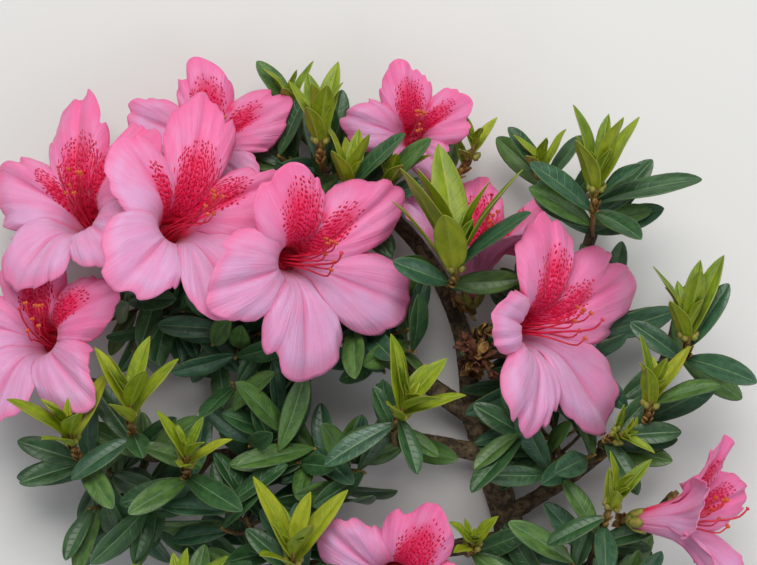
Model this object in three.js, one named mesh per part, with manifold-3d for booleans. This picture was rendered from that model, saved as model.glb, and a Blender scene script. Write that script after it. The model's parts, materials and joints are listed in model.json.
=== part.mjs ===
// A cut branch of an evergreen azalea in full flower, lying on its back on a flat surface.
// Millimetres, +Z up. +Y runs from the cut end towards the tips, and the blooms look up.
// Main limb and boughs, ten open blooms, leafy shoots and the darker leaves behind them
// are each one closed solid, kept clear of one another.

import * as THREE from 'three';
import { mergeVertices } from 'three/addons/utils/BufferGeometryUtils.js';
import Module from 'manifold-3d';

const wasm = await Module();
wasm.setup();

const GAP = 0.3;
const FLOOR_GAP = 2;
const MERGE = 1e-4;
const TOUCH = 1e-6;
const SIMPLIFY = 0.125;

// Corolla: a funnel tube that opens into five broad lobes.
const TUBE_LENGTH = 18;
const TUBE_RADIUS = 2.6;
const LOBE_LENGTH = 34;
const TUBE_SLOPE = 16;
const LOBE_SLOPE = 86;
const FLARE_START = 0.7 * TUBE_LENGTH;
const FLARE_END = 1.9 * TUBE_LENGTH;
const PROFILE_STEP = 0.5;
const PETAL_THICKNESS = 0.9;
const PLUG_DEPTH = 3;
const TUBE_RING = 0.8 * TUBE_LENGTH;
const LOBE_START = 0.95 * TUBE_LENGTH;
const LOBE_OVERLAP = 0.61;
const LOBE_ROUNDING = { side: 2.5, tip: 0.6 };
const SIDE_SAMPLES = 3;
const LOBE_DROOP = 2.6;
const RIM_WAVE = { height: 1.6, turns: 5, shift: 1.7 };
const RING_FRACTIONS = [0.42, 1];

// Stamens and style: bearings from the spotted lobe, and the spread from the bloom's axis.
const STAMENS = { count: 4, first: -100, turn: 40, spread: 26, wider: 6, length: 36,
  shorter: 0.05 };
const STYLE = { bearing: -60, spread: 14, length: 46, tip: 0.77 };
const FILAMENT = { radius: 0.55, foot: 1.2, rise: 0.45, lean: 0.6, sides: 3, steps: 2 };
const ANTHER_RADIUS = 1.1;

// Flower stalk, with the calyx over its last stretch.
const STALK = { radius: 1.3, bend: 12, entry: 1.8, sides: 5, steps: 5 };
const CALYX = { radius: 3.1, start: 0.86 };

// Leaves: elliptic blades with a keel under the midrib.
const LEAF_WIDTH_SHARE = 0.36;
const LEAF_KEEL = 0.9;
const LEAF_STALK = 0.75;
const LEAF_CROSSING = 1.2;
const LEAF_ARCH = 0.16;
const LEAF_STATIONS = [[0, 0], [0.36, 0.92], [0.72, 0.78]];
const GOLDEN_TURN = 137.5;
const SHOOT_SEED = 7;
const INNER_SEED = 101;
const TRIAL_TURNS = [0, 20, -20, 42, -42, 70, -70];

// Stems taper to their tips. A rosette's leaves close towards its heart: first they grow
// longer, then shorter, and each strays a little from the rule.
const STEM = { radius: 1.2, taper: 0.3, sides: 3, steps: 3 };
const ROSETTE = { foot: 0.79, rise: 0.2, closing: 0.62, sway: 40,
  leaf: { first: 0.78, growth: 0.5, heart: 0.62 } };
const STRAY_OPENING = { least: 0.85, range: 0.3 };
const STRAY_LENGTH = { least: 0.9, range: 0.2 };

// Limbs as routes of points, with the radius at the foot and at the tip.
const LIMBS = [
  { name: 'main_limb', radii: [6.6, 4.9], sides: 10,
    route: [[58, -146, 6.6], [56, -120, 7.2], [48, -86, 9.5], [36, -48, 12]] },
  { name: 'bough_left', radii: [3.9, 1.9], sides: 6,
    route: [[37, -52, 11.5], [6, -30, 17], [-30, -9, 19], [-70, 2, 15], [-110, -3, 2.4]] },
  { name: 'bough_centre', radii: [4.1, 1.8], sides: 6,
    route: [[36, -50, 12], [32, -20, 18], [18, 10, 20], [-4, 34, 15], [-30, 58, 2.2]] },
  { name: 'bough_upper_right', radii: [3.5, 1.8], sides: 6,
    route: [[36, -50, 12], [56, -26, 17], [74, 0, 18], [84, 26, 12], [86, 50, 2.4]] },
  { name: 'bough_right', radii: [3.2, 1.7], sides: 6,
    route: [[49, -90, 9.2], [74, -74, 14], [97, -54, 14], [112, -26, 8], [117, -8, 2.2]] },
  { name: 'bough_lower_right', radii: [3, 1.8], sides: 6,
    route: [[56, -120, 7.2], [76, -112, 12], [97, -98, 14], [112, -84, 10]] },
  { name: 'bough_lower_left', radii: [3.7, 1.8], sides: 6,
    route: [[42, -66, 10.8], [6, -60, 15], [-30, -62, 16], [-68, -67, 12], [-104, -66, 2.3]] },
  { name: 'bough_bottom_left', radii: [3.4, 1.7], sides: 6,
    route: [[51, -98, 8.7], [16, -104, 14], [-18, -108, 15], [-52, -112, 10], [-84, -118, 2.2]] },
];

// Blooms: the throat's place, how far the bloom turns to +X and tips to +Y, how far its
// lobes open, and each lobe's bearing about the axis with its length, spotted lobe first.
const BLOOMS = [
  { name: 'bloom_1', throat: [-111, 25, 46], turn: -25, tip: 30, open: 1, size: 1,
    limb: 'bough_left', along: 0.9,
    lobes: [[94, 1.34], [46, 1.12], [-40, 0.86], [-122, 0.95], [150, 1]] },
  { name: 'bloom_2', throat: [-72.5, 21.5, 61], turn: 25, tip: 20, open: 1, size: 1,
    limb: 'bough_left', along: 0.74,
    lobes: [[77, 1.32], [25, 1.14], [-58, 1.1], [-132, 1], [130, 0.92]] },
  { name: 'bloom_3', throat: [-29, 7.5, 60], turn: 25, tip: -5, open: 1, size: 1,
    limb: 'bough_left', along: 0.47,
    lobes: [[100, 0.95], [37, 1.15], [-22, 1.22], [-88, 1.15], [-165, 1]] },
  { name: 'bloom_4', throat: [-126, -20, 45], turn: -20, tip: 15, open: 1, size: 0.95,
    limb: 'bough_left', along: 0.985,
    lobes: [[95, 1], [25, 1], [-45, 1], [-118, 1], [170, 1]] },
  { name: 'bloom_5', throat: [57, -17, 60], turn: 45, tip: 0, open: 1, size: 1,
    limb: 'bough_centre', along: 0.2,
    lobes: [[86, 1.04], [25, 1.36], [-46, 1.34], [-101, 1.02], [168, 0.72]] },
  { name: 'bloom_6', throat: [5, -110, 50], turn: -5, tip: -10, open: 1, size: 0.95,
    limb: 'bough_bottom_left', along: 0.28,
    lobes: [[60, 0.95], [-12, 1], [-84, 1], [-156, 1], [138, 0.9]] },
  { name: 'bloom_7', throat: [109, -87, 55], turn: 68, tip: 5, open: 0.6, size: 0.95,
    limb: 'bough_lower_right', along: 0.8,
    lobes: [[90, 1], [18, 1], [-54, 1], [-126, 1], [162, 0.9]] },
  { name: 'bloom_8', throat: [36, 8, 34], turn: 4, tip: 66, open: 0.52, size: 0.95,
    limb: 'bough_centre', along: 0.4,
    lobes: [[90, 1], [18, 1], [-54, 1], [-126, 0.9], [162, 1]] },
  { name: 'bloom_9', throat: [12, 55, 30], turn: -5, tip: 10, open: 0.85, size: 0.72,
    limb: 'bough_centre', along: 0.8,
    lobes: [[95, 1], [23, 1], [-49, 0.75], [-121, 0.6], [167, 0.95]] },
  { name: 'bloom_10', throat: [-64, 52, 25], turn: 0, tip: 12, open: 0.9, size: 0.84,
    limb: 'bough_left', along: 0.62,
    lobes: [[98, 1], [24, 1.05], [-50, 0.75], [-122, 0.6], [162, 1]] },
];

// Shoots: the limb and the place on it that each stem leaves, the rosette's place and its
// axis as bearing and lift, the number, length and opening of the young leaves, and the
// older leaves as [place on the stem, bearing, lift, length].
const SHOOTS = [
  { name: 'shoot_1', limb: 'bough_lower_left', along: 0.97, rosette: [-113, -52, 62],
    axis: [95, 36], young: 7, length: 31, opening: 44,
    old: [[0.75, 245, 5, 28], [0.6, 160, 10, 26], [0.45, 300, 15, 26]] },
  { name: 'shoot_2', limb: 'bough_lower_left', along: 0.84, rosette: [-90, -41, 68],
    axis: [88, 26], young: 7, length: 31, opening: 40,
    old: [[0.7, 207, 12, 27], [0.5, 270, 12, 29], [0.62, 330, 5, 25], [0.4, 150, 5, 26]] },
  { name: 'shoot_3', limb: 'bough_lower_left', along: 0.72, rosette: [-69, -61, 66],
    axis: [78, 36], young: 6, length: 24, opening: 50,
    old: [[0.82, 308, 8, 38], [0.6, 200, 5, 27], [0.45, 80, 0, 27]] },
  { name: 'shoot_4', limb: 'bough_bottom_left', along: 0.52, rosette: [-31, -97, 64],
    axis: [86, 34], young: 6, length: 34, opening: 42,
    old: [[0.75, 135, 5, 24], [0.6, 20, 5, 27], [0.5, 260, 10, 28]] },
  { name: 'shoot_5', limb: 'bough_bottom_left', along: 0.82, rosette: [-73, -113, 58],
    axis: [92, 42], young: 6, length: 27, opening: 58,
    old: [[0.7, 200, 5, 27], [0.55, 320, 5, 27], [0.6, 80, 0, 25]] },
  { name: 'shoot_6', limb: 'bough_lower_left', along: 0.2, rosette: [10, -43, 68],
    axis: [64, 34], young: 7, length: 31, opening: 42,
    old: [[0.8, 205, 10, 30], [0.86, 292, 25, 22], [0.55, 248, 12, 34], [0.7, 115, 12, 18],
      [0.75, 330, 12, 19]] },
  { name: 'shoot_7', limb: 'bough_centre', along: 0.52, rosette: [28.5, 10, 66],
    axis: [90, 18], young: 8, length: 47, opening: 32,
    old: [[0.62, 135, 14, 38], [0.72, 28, 20, 26], [0.9, 46, 25, 35], [0.55, 352, 25, 17]] },
  { name: 'shoot_8', limb: 'bough_upper_right', along: 0.72, rosette: [79, 40, 70],
    axis: [86, 20], young: 6, length: 33, opening: 26,
    old: [[0.8, 19, 12, 39], [0.72, 137, 18, 30], [0.82, 47, 35, 23], [0.6, 16, 15, 22],
      [0.55, 150, 5, 24], [0.68, 36, 8, 19]] },
  { name: 'shoot_9', limb: 'bough_centre', along: 0.78, rosette: [-10, 38, 50],
    axis: [88, 22], young: 6, length: 27, opening: 26,
    old: [[0.9, 52, 20, 29], [0.6, 20, 5, 24]] },
  { name: 'shoot_10', limb: 'bough_centre', along: 0.86, rosette: [-21, 57, 58],
    axis: [86, 22], young: 8, length: 29, opening: 30, old: [[0.6, 100, 5, 26]] },
  { name: 'shoot_11', limb: 'bough_centre', along: 0.97, rosette: [-33, 69, 24],
    axis: [98, 20], young: 5, length: 20, opening: 36, old: [[0.8, 120, 12, 24]] },
  { name: 'shoot_12', limb: 'bough_centre', along: 0.68, rosette: [3, 37, 46],
    axis: [70, 28], young: 5, length: 25, opening: 30,
    old: [[0.9, 55, 28, 27], [0.7, 25, 15, 20]] },
  { name: 'shoot_13', limb: 'bough_right', along: 0.86, rosette: [113, -14, 62],
    axis: [90, 20], young: 6, length: 33, opening: 28,
    old: [[0.8, 60, 12, 28], [0.55, 330, 8, 26], [0.6, 140, 5, 24]] },
  { name: 'shoot_14', limb: 'bough_right', along: 0.62, rosette: [100, -40, 60],
    axis: [80, 24], young: 5, length: 27, opening: 26,
    old: [[0.9, 24, 15, 27], [0.6, 190, 5, 24]] },
  { name: 'shoot_15', limb: 'bough_right', along: 0.42, rosette: [90, -56, 50],
    axis: [20, 45], young: 4, length: 18, opening: 45,
    old: [[0.9, 8, 12, 24], [0.8, 345, 10, 24], [0.7, 310, 10, 20]] },
  { name: 'shoot_16', limb: 'bough_lower_right', along: 0.4, rosette: [87, -77, 59],
    axis: [70, 30], young: 5, length: 22, opening: 34,
    old: [[0.8, 200, 5, 24], [0.6, 120, 5, 24]] },
  { name: 'shoot_17', limb: 'bough_bottom_left', along: 0.14, rosette: [35, -96, 44],
    axis: [88, 50], young: 5, length: 17, opening: 48, old: [[0.7, 330, 5, 24]] },
  { name: 'shoot_18', limb: 'bough_upper_right', along: 0.86, rosette: [61, 44, 38],
    axis: [100, 25], young: 5, length: 21, opening: 42,
    old: [[0.9, 125, 12, 22], [0.8, 60, 5, 22]] },
  { name: 'shoot_19', limb: 'bough_centre', along: 0.74, rosette: [36, 52, 34],
    axis: [82, 35], young: 5, length: 17, opening: 42, old: [] },
];

// Older foliage low on the boughs: a short stem with side twigs, each ringed with leaves.
const INNER_TWIG = { count: 2, leaves: 3, length: 15, slimness: 0.8, first: 0.55, rise: 0.15,
  turn: 120, sway: 80, lift: { least: 20, range: 20 } };
const INNER_LEAF = { length: 29, first: 0.95, step: 0.25, stray: { least: 0.8, range: 0.4 },
  opening: { least: 50, range: 25 } };
const INNER_UPTURN = new THREE.Vector3(0, 0.3, 0.4);
const INNER_FOLIAGE = [
  { name: 'inner_foliage_1', limb: 'bough_left', along: 0.28, crown: [2, -18, 36] },
  { name: 'inner_foliage_2', limb: 'bough_left', along: 0.6, crown: [-52, -24, 36] },
  { name: 'inner_foliage_3', limb: 'bough_left', along: 0.84, crown: [-88, -12, 30] },
  { name: 'inner_foliage_4', limb: 'bough_lower_left', along: 0.42, crown: [-16, -76, 38] },
  { name: 'inner_foliage_5', limb: 'bough_lower_left', along: 0.6, crown: [-46, -50, 38] },
  { name: 'inner_foliage_6', limb: 'bough_lower_left', along: 0.9, crown: [-98, -86, 28] },
  { name: 'inner_foliage_7', limb: 'bough_bottom_left', along: 0.66, crown: [-50, -88, 34] },
  { name: 'inner_foliage_8', limb: 'bough_centre', along: 0.9, crown: [-34, 36, 26] },
  { name: 'inner_foliage_9', limb: 'bough_upper_right', along: 0.4, crown: [72, -22, 34] },
  { name: 'inner_foliage_10', limb: 'bough_right', along: 0.25, crown: [66, -56, 36] },
  { name: 'inner_foliage_11', limb: 'bough_lower_right', along: 0.35, crown: [78, -122, 34] },
];

const COLOURS = { bark: 0x5b4a2c, petal: 0xdb86ac, young: 0x8a992e, old: 0x4b6a39 };

const UP = new THREE.Vector3(0, 0, 1);
const radians = (degrees) => THREE.MathUtils.degToRad(degrees);
const point = (values) => new THREE.Vector3(...values);

// The direction with a bearing in the XY plane, from +X, and a lift above it, in degrees.
function heading(bearing, lift) {
  const flat = Math.cos(radians(lift));
  return new THREE.Vector3(flat * Math.cos(radians(bearing)),
    flat * Math.sin(radians(bearing)), Math.sin(radians(lift)));
}

// A small generator of numbers from 0 to 1, the same for the same seed.
function seeded(seed) {
  let state = seed;
  return () => {
    state = (state * 16807) % 2147483647;
    return state / 2147483647;
  };
}

// A value between a least one and that plus a range.
const within = ({ least, range }, random) => least + range * random();

function solidFrom(vertices, triangles) {
  const geometry = new THREE.BufferGeometry();
  const positions = vertices.flatMap((vertex) => [vertex.x, vertex.y, vertex.z]);
  geometry.setAttribute('position', new THREE.Float32BufferAttribute(positions, 3));
  geometry.setIndex(triangles.flat());
  const merged = mergeVertices(geometry, MERGE);
  return new wasm.Manifold(new wasm.Mesh({
    numProp: 3,
    vertProperties: new Float32Array(merged.attributes.position.array),
    triVerts: new Uint32Array(merged.index.array),
  }));
}

// The closed skin over a row of rings with the same number of points, one pole at each end.
function skin(start, rings, end) {
  const vertices = [start, ...rings.flat(), end];
  const count = rings[0].length;
  const last = vertices.length - 1;
  const triangles = [];
  for (let i = 0; i < count; i += 1) {
    const next = (i + 1) % count;
    triangles.push([0, 1 + next, 1 + i]);
    for (let ring = 0; ring < rings.length - 1; ring += 1) {
      const near = 1 + ring * count;
      const far = near + count;
      triangles.push([near + i, near + next, far + next], [near + i, far + next, far + i]);
    }
    const top = 1 + (rings.length - 1) * count;
    triangles.push([last, top + i, top + next]);
  }
  return solidFrom(vertices, triangles);
}

// A limb of round section along a curve, with a radius for each share of its length.
function tube(curve, radiusAt, sides, steps) {
  const frames = curve.computeFrenetFrames(steps, false);
  const rings = [];
  for (let step = 0; step <= steps; step += 1) {
    const centre = curve.getPointAt(step / steps);
    const radius = radiusAt(step / steps);
    const ring = [];
    for (let i = 0; i < sides; i += 1) {
      const angle = (2 * Math.PI * i) / sides;
      ring.push(centre.clone()
        .addScaledVector(frames.normals[step], radius * Math.cos(angle))
        .addScaledVector(frames.binormals[step], radius * Math.sin(angle)));
    }
    rings.push(ring);
  }
  return skin(curve.getPointAt(0), rings, curve.getPointAt(1));
}

// A stem that leaves its foot freely and ends at its top along an axis.
function stalkCurve(foot, top, axis, longestBend = Infinity) {
  const bend = Math.min(foot.distanceTo(top) / 2, longestBend);
  return new THREE.QuadraticBezierCurve3(foot, top.clone().addScaledVector(axis, -bend), top);
}

function largestPiece(solid) {
  const pieces = solid.decompose();
  return pieces.reduce((best, piece) => (piece.volume() > best.volume() ? piece : best));
}

function boxesMeet(a, b) {
  return [0, 1, 2].every((axis) => a.min[axis] < b.max[axis] && b.min[axis] < a.max[axis]);
}

// Everything that is already in place, with the name of the piece that it belongs to.
const placed = [];

function place(owner, solid) {
  placed.push({ owner, solid, box: solid.boundingBox() });
}

function isClear(solid, owner) {
  const box = solid.boundingBox();
  if (box.min[2] < FLOOR_GAP) return false;
  return placed.every((other) => other.owner === owner || !boxesMeet(box, other.box)
    || solid.intersect(other.solid).volume() < TOUCH);
}

const azalea = new THREE.Group();
azalea.name = 'azalea_branch';

function addMesh(name, solid, colour, roughness) {
  const mesh = largestPiece(solid.asOriginal().simplify(SIMPLIFY)).getMesh();
  const geometry = new THREE.BufferGeometry();
  geometry.setAttribute('position', new THREE.Float32BufferAttribute(mesh.vertProperties, 3));
  geometry.setIndex(Array.from(mesh.triVerts));
  geometry.computeVertexNormals();
  const material = new THREE.MeshStandardMaterial({ color: colour, roughness, metalness: 0 });
  const part = new THREE.Mesh(geometry, material);
  part.name = name;
  azalea.add(part);
}

// Limbs. Each bough starts inside the limb that carries it and is cut clear of it.
const LIMB_STEPS = 8;
const limbs = {};
let grownLimbs = [];
for (const limb of LIMBS) {
  const curve = new THREE.CatmullRomCurve3(limb.route.map(point));
  const [foot, tip] = limb.radii;
  const radiusAt = (share) => foot + (tip - foot) * share;
  const whole = tube(curve, radiusAt, limb.sides, LIMB_STEPS);
  const clear = largestPiece(grownLimbs.reduce((solid, other) => solid.subtract(other), whole));
  const grown = tube(curve, (share) => radiusAt(share) + GAP, limb.sides, LIMB_STEPS);
  limbs[limb.name] = curve;
  grownLimbs = [...grownLimbs, grown];
  place(limb.name, grown);
  addMesh(limb.name, clear, COLOURS.bark, 0.9);
}

function clearOfLimbs(solid) {
  return largestPiece(grownLimbs.reduce((rest, limb) => rest.subtract(limb), solid));
}

// The corolla's section: radius and height over the throat at a distance along the petal.
function profile(distance, open) {
  let radius = TUBE_RADIUS;
  let height = -TUBE_LENGTH;
  for (let gone = 0; gone < distance; gone += PROFILE_STEP) {
    const flare = THREE.MathUtils.smoothstep(gone, FLARE_START, FLARE_END);
    const slope = radians(TUBE_SLOPE + (LOBE_SLOPE * open - TUBE_SLOPE) * flare);
    const stride = Math.min(PROFILE_STEP, distance - gone);
    radius += Math.sin(slope) * stride;
    height += Math.cos(slope) * stride;
  }
  return [radius, height];
}

// The samples round a corolla: bearing, lobe length and place across the lobe, -1 to 1.
function lobeSamples(lobes) {
  const samples = [];
  lobes.forEach(([bearing, length], index) => {
    const [before] = lobes[(index + lobes.length - 1) % lobes.length];
    const [after] = lobes[(index + 1) % lobes.length];
    const gapBefore = THREE.MathUtils.euclideanModulo(before - bearing, 360);
    const gapAfter = THREE.MathUtils.euclideanModulo(bearing - after, 360);
    for (let i = -SIDE_SAMPLES + 1; i <= SIDE_SAMPLES; i += 1) {
      const gap = i < 0 ? gapBefore : gapAfter;
      const across = i / SIDE_SAMPLES / (2 * LOBE_OVERLAP);
      const shape = (1 - Math.abs(across) ** LOBE_ROUNDING.side) ** LOBE_ROUNDING.tip;
      samples.push({ bearing: bearing - (gap * i) / SIDE_SAMPLES / 2, across,
        length: LOBE_LENGTH * length * shape, index });
    }
  });
  return samples.reverse();
}

function petalPoint(sample, distance, share, bloom, sink) {
  const [radius, height] = profile(distance, bloom.open);
  const [wider, higher] = profile(distance + PROFILE_STEP, bloom.open);
  const outwards = new THREE.Vector2(wider - radius, higher - height).normalize();
  const droop = LOBE_DROOP * sample.across ** 2 * share;
  const phase = RIM_WAVE.turns * sample.across + RIM_WAVE.shift * sample.index;
  const wave = RIM_WAVE.height * share ** 2 * Math.sin(phase);
  const lift = wave - droop - sink;
  const r = radius - outwards.y * lift;
  const angle = radians(sample.bearing);
  return new THREE.Vector3(r * Math.cos(angle), r * Math.sin(angle),
    height + outwards.x * lift);
}

// One corolla as a thin closed shell, with a plug at the bottom of its tube.
function corolla(bloom) {
  const samples = lobeSamples(bloom.lobes);
  const side = (sink) => {
    const tubeRings = [sink ? 0 : PLUG_DEPTH, TUBE_RING].map((distance) => (
      samples.map((sample) => petalPoint(sample, distance, 0, bloom, sink))));
    const lobeRings = RING_FRACTIONS.map((share) => samples.map((sample) => (
      petalPoint(sample, LOBE_START + sample.length * share, share, bloom, sink))));
    return [...tubeRings, ...lobeRings];
  };
  const outer = side(PETAL_THICKNESS);
  const inner = side(0).reverse();
  const bottom = new THREE.Vector3(0, 0, -TUBE_LENGTH);
  const plug = new THREE.Vector3(0, 0, -TUBE_LENGTH + PLUG_DEPTH);
  return skin(bottom, [...outer, ...inner], plug);
}

// A filament that leaves the throat along the axis and curves up towards its tip.
function filament(bearing, spread, length, tipRadius) {
  const lean = heading(bearing, 90 - spread);
  const foot = new THREE.Vector3(0, 0, -TUBE_LENGTH + FILAMENT.foot);
  const bend = foot.clone().addScaledVector(UP, length * FILAMENT.rise);
  const end = bend.clone().addScaledVector(lean, length * FILAMENT.lean);
  const curve = new THREE.QuadraticBezierCurve3(foot, bend, end);
  const radiusAt = (share) => (share < 1 ? FILAMENT.radius : tipRadius);
  return tube(curve, radiusAt, FILAMENT.sides, FILAMENT.steps);
}

function bloomFrame(bloom) {
  const axis = new THREE.Vector3(Math.tan(radians(bloom.turn)), Math.tan(radians(bloom.tip)), 1)
    .normalize();
  const turn = new THREE.Quaternion().setFromUnitVectors(UP, axis);
  const size = new THREE.Vector3(bloom.size, bloom.size, bloom.size);
  return new THREE.Matrix4().compose(point(bloom.throat), turn, size);
}

function bloomSolid(bloom) {
  const frame = bloomFrame(bloom);
  const parts = [corolla(bloom)];
  const spotted = bloom.lobes[0][0];
  for (let i = 0; i < STAMENS.count; i += 1) {
    const bearing = spotted + STAMENS.first + STAMENS.turn * i;
    const length = STAMENS.length * (1 - STAMENS.shorter * (i % 3));
    parts.push(filament(bearing, STAMENS.spread + STAMENS.wider * (i % 2), length,
      ANTHER_RADIUS));
  }
  parts.push(filament(spotted + STYLE.bearing, STYLE.spread, STYLE.length, STYLE.tip));
  const inward = frame.clone().invert();
  const foot = limbs[bloom.limb].getPointAt(bloom.along).applyMatrix4(inward);
  const top = new THREE.Vector3(0, 0, -TUBE_LENGTH + STALK.entry);
  const stalk = stalkCurve(foot, top, UP, STALK.bend);
  const radiusAt = (share) => (share > CALYX.start ? CALYX.radius : STALK.radius);
  parts.push(tube(stalk, radiusAt, STALK.sides, STALK.steps));
  return clearOfLimbs(wasm.Manifold.union(parts).transform(frame.elements));
}

for (const bloom of BLOOMS) {
  const solid = bloomSolid(bloom);
  place(bloom.name, solid);
  addMesh(bloom.name, solid, COLOURS.petal, 0.55);
}

// A leaf blade from its root along a direction, with its upper face towards a normal.
function leafSolid(root, direction, facing, length, padding) {
  const normal = facing.clone().addScaledVector(direction, -facing.dot(direction)).normalize();
  const across = direction.clone().cross(normal);
  const halfWidth = (LEAF_WIDTH_SHARE * length) / 2 + padding;
  const at = (along, side, height) => root.clone()
    .addScaledVector(direction, along * length)
    .addScaledVector(across, side)
    .addScaledVector(normal, height - LEAF_ARCH * length * along ** 2);
  const rings = LEAF_STATIONS.map(([along, width]) => {
    const half = Math.max(halfWidth * width, LEAF_STALK);
    const edge = Math.max(LEAF_KEEL * width, LEAF_STALK) + padding;
    return [at(along, -half, edge), at(along, half, edge), at(along, 0, -padding)];
  });
  return skin(at(0, 0, LEAF_STALK / 2), rings, at(1 + padding / length, 0, 0));
}

// A mass starts as its stem and side twigs, and waits for its leaves.
const masses = [];

function addMass(name, stems, leaves, colour) {
  const woods = stems.map(({ curve, radius }) => (
    tube(curve, (share) => radius * (1 - STEM.taper * share), STEM.sides, STEM.steps)));
  const stem = clearOfLimbs(wasm.Manifold.union(woods));
  place(name, stem);
  masses.push({ name, stem, leaves, colour });
}

// Each leaf grows at the first trial turn where it is clear of all the rest, or not at all.
function growLeaves({ name, stem, leaves, colour }) {
  const kept = [];
  for (const leaf of leaves) {
    for (const turn of TRIAL_TURNS) {
      const direction = leaf.direction.clone().applyAxisAngle(leaf.axis, radians(turn));
      const wide = leafSolid(leaf.root, direction, leaf.axis, leaf.length, GAP);
      const blade = leafSolid(leaf.root, direction, leaf.axis, leaf.length, 0);
      const crosses = kept.some((other) => blade.intersect(other).volume() > LEAF_CROSSING);
      if (!crosses && isClear(wide, name)) {
        kept.push(blade);
        place(name, blade);
        break;
      }
    }
  }
  addMesh(name, wasm.Manifold.union([stem, ...kept]), colour, 0.6);
}

// The young leaves ring the tip by the golden turn, the inner ones shorter and steeper.
function youngLeaves(shoot, curve, random) {
  const leaves = [];
  const axis = curve.getTangentAt(1);
  const side = UP.clone().cross(axis).normalize();
  const { first, growth, heart } = ROSETTE.leaf;
  for (let i = 0; i < shoot.young; i += 1) {
    const share = i / (shoot.young - 1);
    const opening = shoot.opening * (1 - ROSETTE.closing * share)
      * within(STRAY_OPENING, random);
    const length = shoot.length * (first + growth * share - heart * share ** 3)
      * within(STRAY_LENGTH, random);
    const around = radians(GOLDEN_TURN * i + ROSETTE.sway * random());
    const direction = axis.clone().applyAxisAngle(side, radians(opening))
      .applyAxisAngle(axis, around);
    const root = curve.getPointAt(ROSETTE.foot + ROSETTE.rise * share);
    leaves.push({ root, direction, axis, length });
  }
  return leaves;
}

SHOOTS.forEach((shoot, index) => {
  const random = seeded(SHOOT_SEED + index);
  const foot = limbs[shoot.limb].getPointAt(shoot.along);
  const curve = stalkCurve(foot, point(shoot.rosette), heading(...shoot.axis));
  const old = shoot.old.map(([along, bearing, lift, length]) => ({
    root: curve.getPointAt(along), direction: heading(bearing, lift),
    axis: curve.getTangentAt(along), length,
  }));
  const leaves = [...old, ...youngLeaves(shoot, curve, random)];
  addMass(shoot.name, [{ curve, radius: STEM.radius }], leaves, COLOURS.young);
});

// The leaves of a side twig stand round it by the golden turn, from its tip downwards.
function innerLeaves(twig, random) {
  const leaves = [];
  const axis = twig.getTangentAt(1);
  const across = UP.clone().cross(axis).normalize();
  for (let i = 0; i < INNER_TWIG.leaves; i += 1) {
    const around = radians(GOLDEN_TURN * i + 360 * random());
    const direction = axis.clone()
      .applyAxisAngle(across, radians(within(INNER_LEAF.opening, random)))
      .applyAxisAngle(axis, around);
    const root = twig.getPointAt(INNER_LEAF.first - INNER_LEAF.step * i);
    const length = INNER_LEAF.length * within(INNER_LEAF.stray, random);
    leaves.push({ root, direction, axis, length });
  }
  return leaves;
}

INNER_FOLIAGE.forEach((mass, index) => {
  const random = seeded(INNER_SEED + index);
  const foot = limbs[mass.limb].getPointAt(mass.along);
  const crown = point(mass.crown);
  const axis = crown.clone().sub(foot).normalize().add(INNER_UPTURN).normalize();
  const stem = stalkCurve(foot, crown, axis);
  const stems = [{ curve: stem, radius: STEM.radius }];
  const leaves = [];
  for (let i = 0; i < INNER_TWIG.count; i += 1) {
    const bearing = INNER_TWIG.turn * i + INNER_TWIG.sway * random();
    const side = heading(bearing, within(INNER_TWIG.lift, random));
    const root = stem.getPointAt(INNER_TWIG.first + INNER_TWIG.rise * i);
    const tip = root.clone().addScaledVector(side, INNER_TWIG.length);
    const twig = stalkCurve(root, tip, side.clone().add(axis).normalize());
    stems.push({ curve: twig, radius: STEM.radius * INNER_TWIG.slimness });
    leaves.push(...innerLeaves(twig, random));
  }
  addMass(mass.name, stems, leaves, COLOURS.old);
});

masses.forEach(growLeaves);

// The origin is the middle of the underside of the box round the whole branch.
const box = new THREE.Box3().setFromObject(azalea, true);
azalea.position.set(-(box.min.x + box.max.x) / 2, -(box.min.y + box.max.y) / 2, -box.min.z);

export default azalea;
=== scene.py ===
# A cut branch of an evergreen azalea in full flower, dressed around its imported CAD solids.
# The branch lies on its back under a camera that looks straight down on it. Each CAD solid
# is replaced by finer pieces in the same place: bark with relief, petals with creases,
# veins and spots, stamens, leaves with midribs, and twigs that carry more and finer leaves.

import json
import math
import random

import bpy
import numpy as np
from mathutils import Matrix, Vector
from mathutils.bvhtree import BVHTree

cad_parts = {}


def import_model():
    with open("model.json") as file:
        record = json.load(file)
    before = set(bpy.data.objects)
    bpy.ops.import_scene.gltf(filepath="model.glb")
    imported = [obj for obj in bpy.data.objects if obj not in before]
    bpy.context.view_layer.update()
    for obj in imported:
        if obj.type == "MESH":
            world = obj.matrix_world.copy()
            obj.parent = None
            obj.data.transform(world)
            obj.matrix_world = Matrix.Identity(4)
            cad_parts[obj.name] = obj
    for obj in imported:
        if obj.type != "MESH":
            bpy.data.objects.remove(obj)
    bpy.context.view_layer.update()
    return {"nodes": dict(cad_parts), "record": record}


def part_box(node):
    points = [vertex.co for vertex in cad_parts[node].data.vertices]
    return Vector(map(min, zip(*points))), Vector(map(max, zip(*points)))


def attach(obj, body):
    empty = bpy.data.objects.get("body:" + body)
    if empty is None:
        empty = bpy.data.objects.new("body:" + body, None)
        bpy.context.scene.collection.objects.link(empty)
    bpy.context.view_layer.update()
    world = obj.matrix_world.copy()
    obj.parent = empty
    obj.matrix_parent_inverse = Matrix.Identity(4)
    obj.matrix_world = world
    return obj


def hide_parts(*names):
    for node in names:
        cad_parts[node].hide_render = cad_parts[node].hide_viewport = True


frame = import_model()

MM = 0.001

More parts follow.
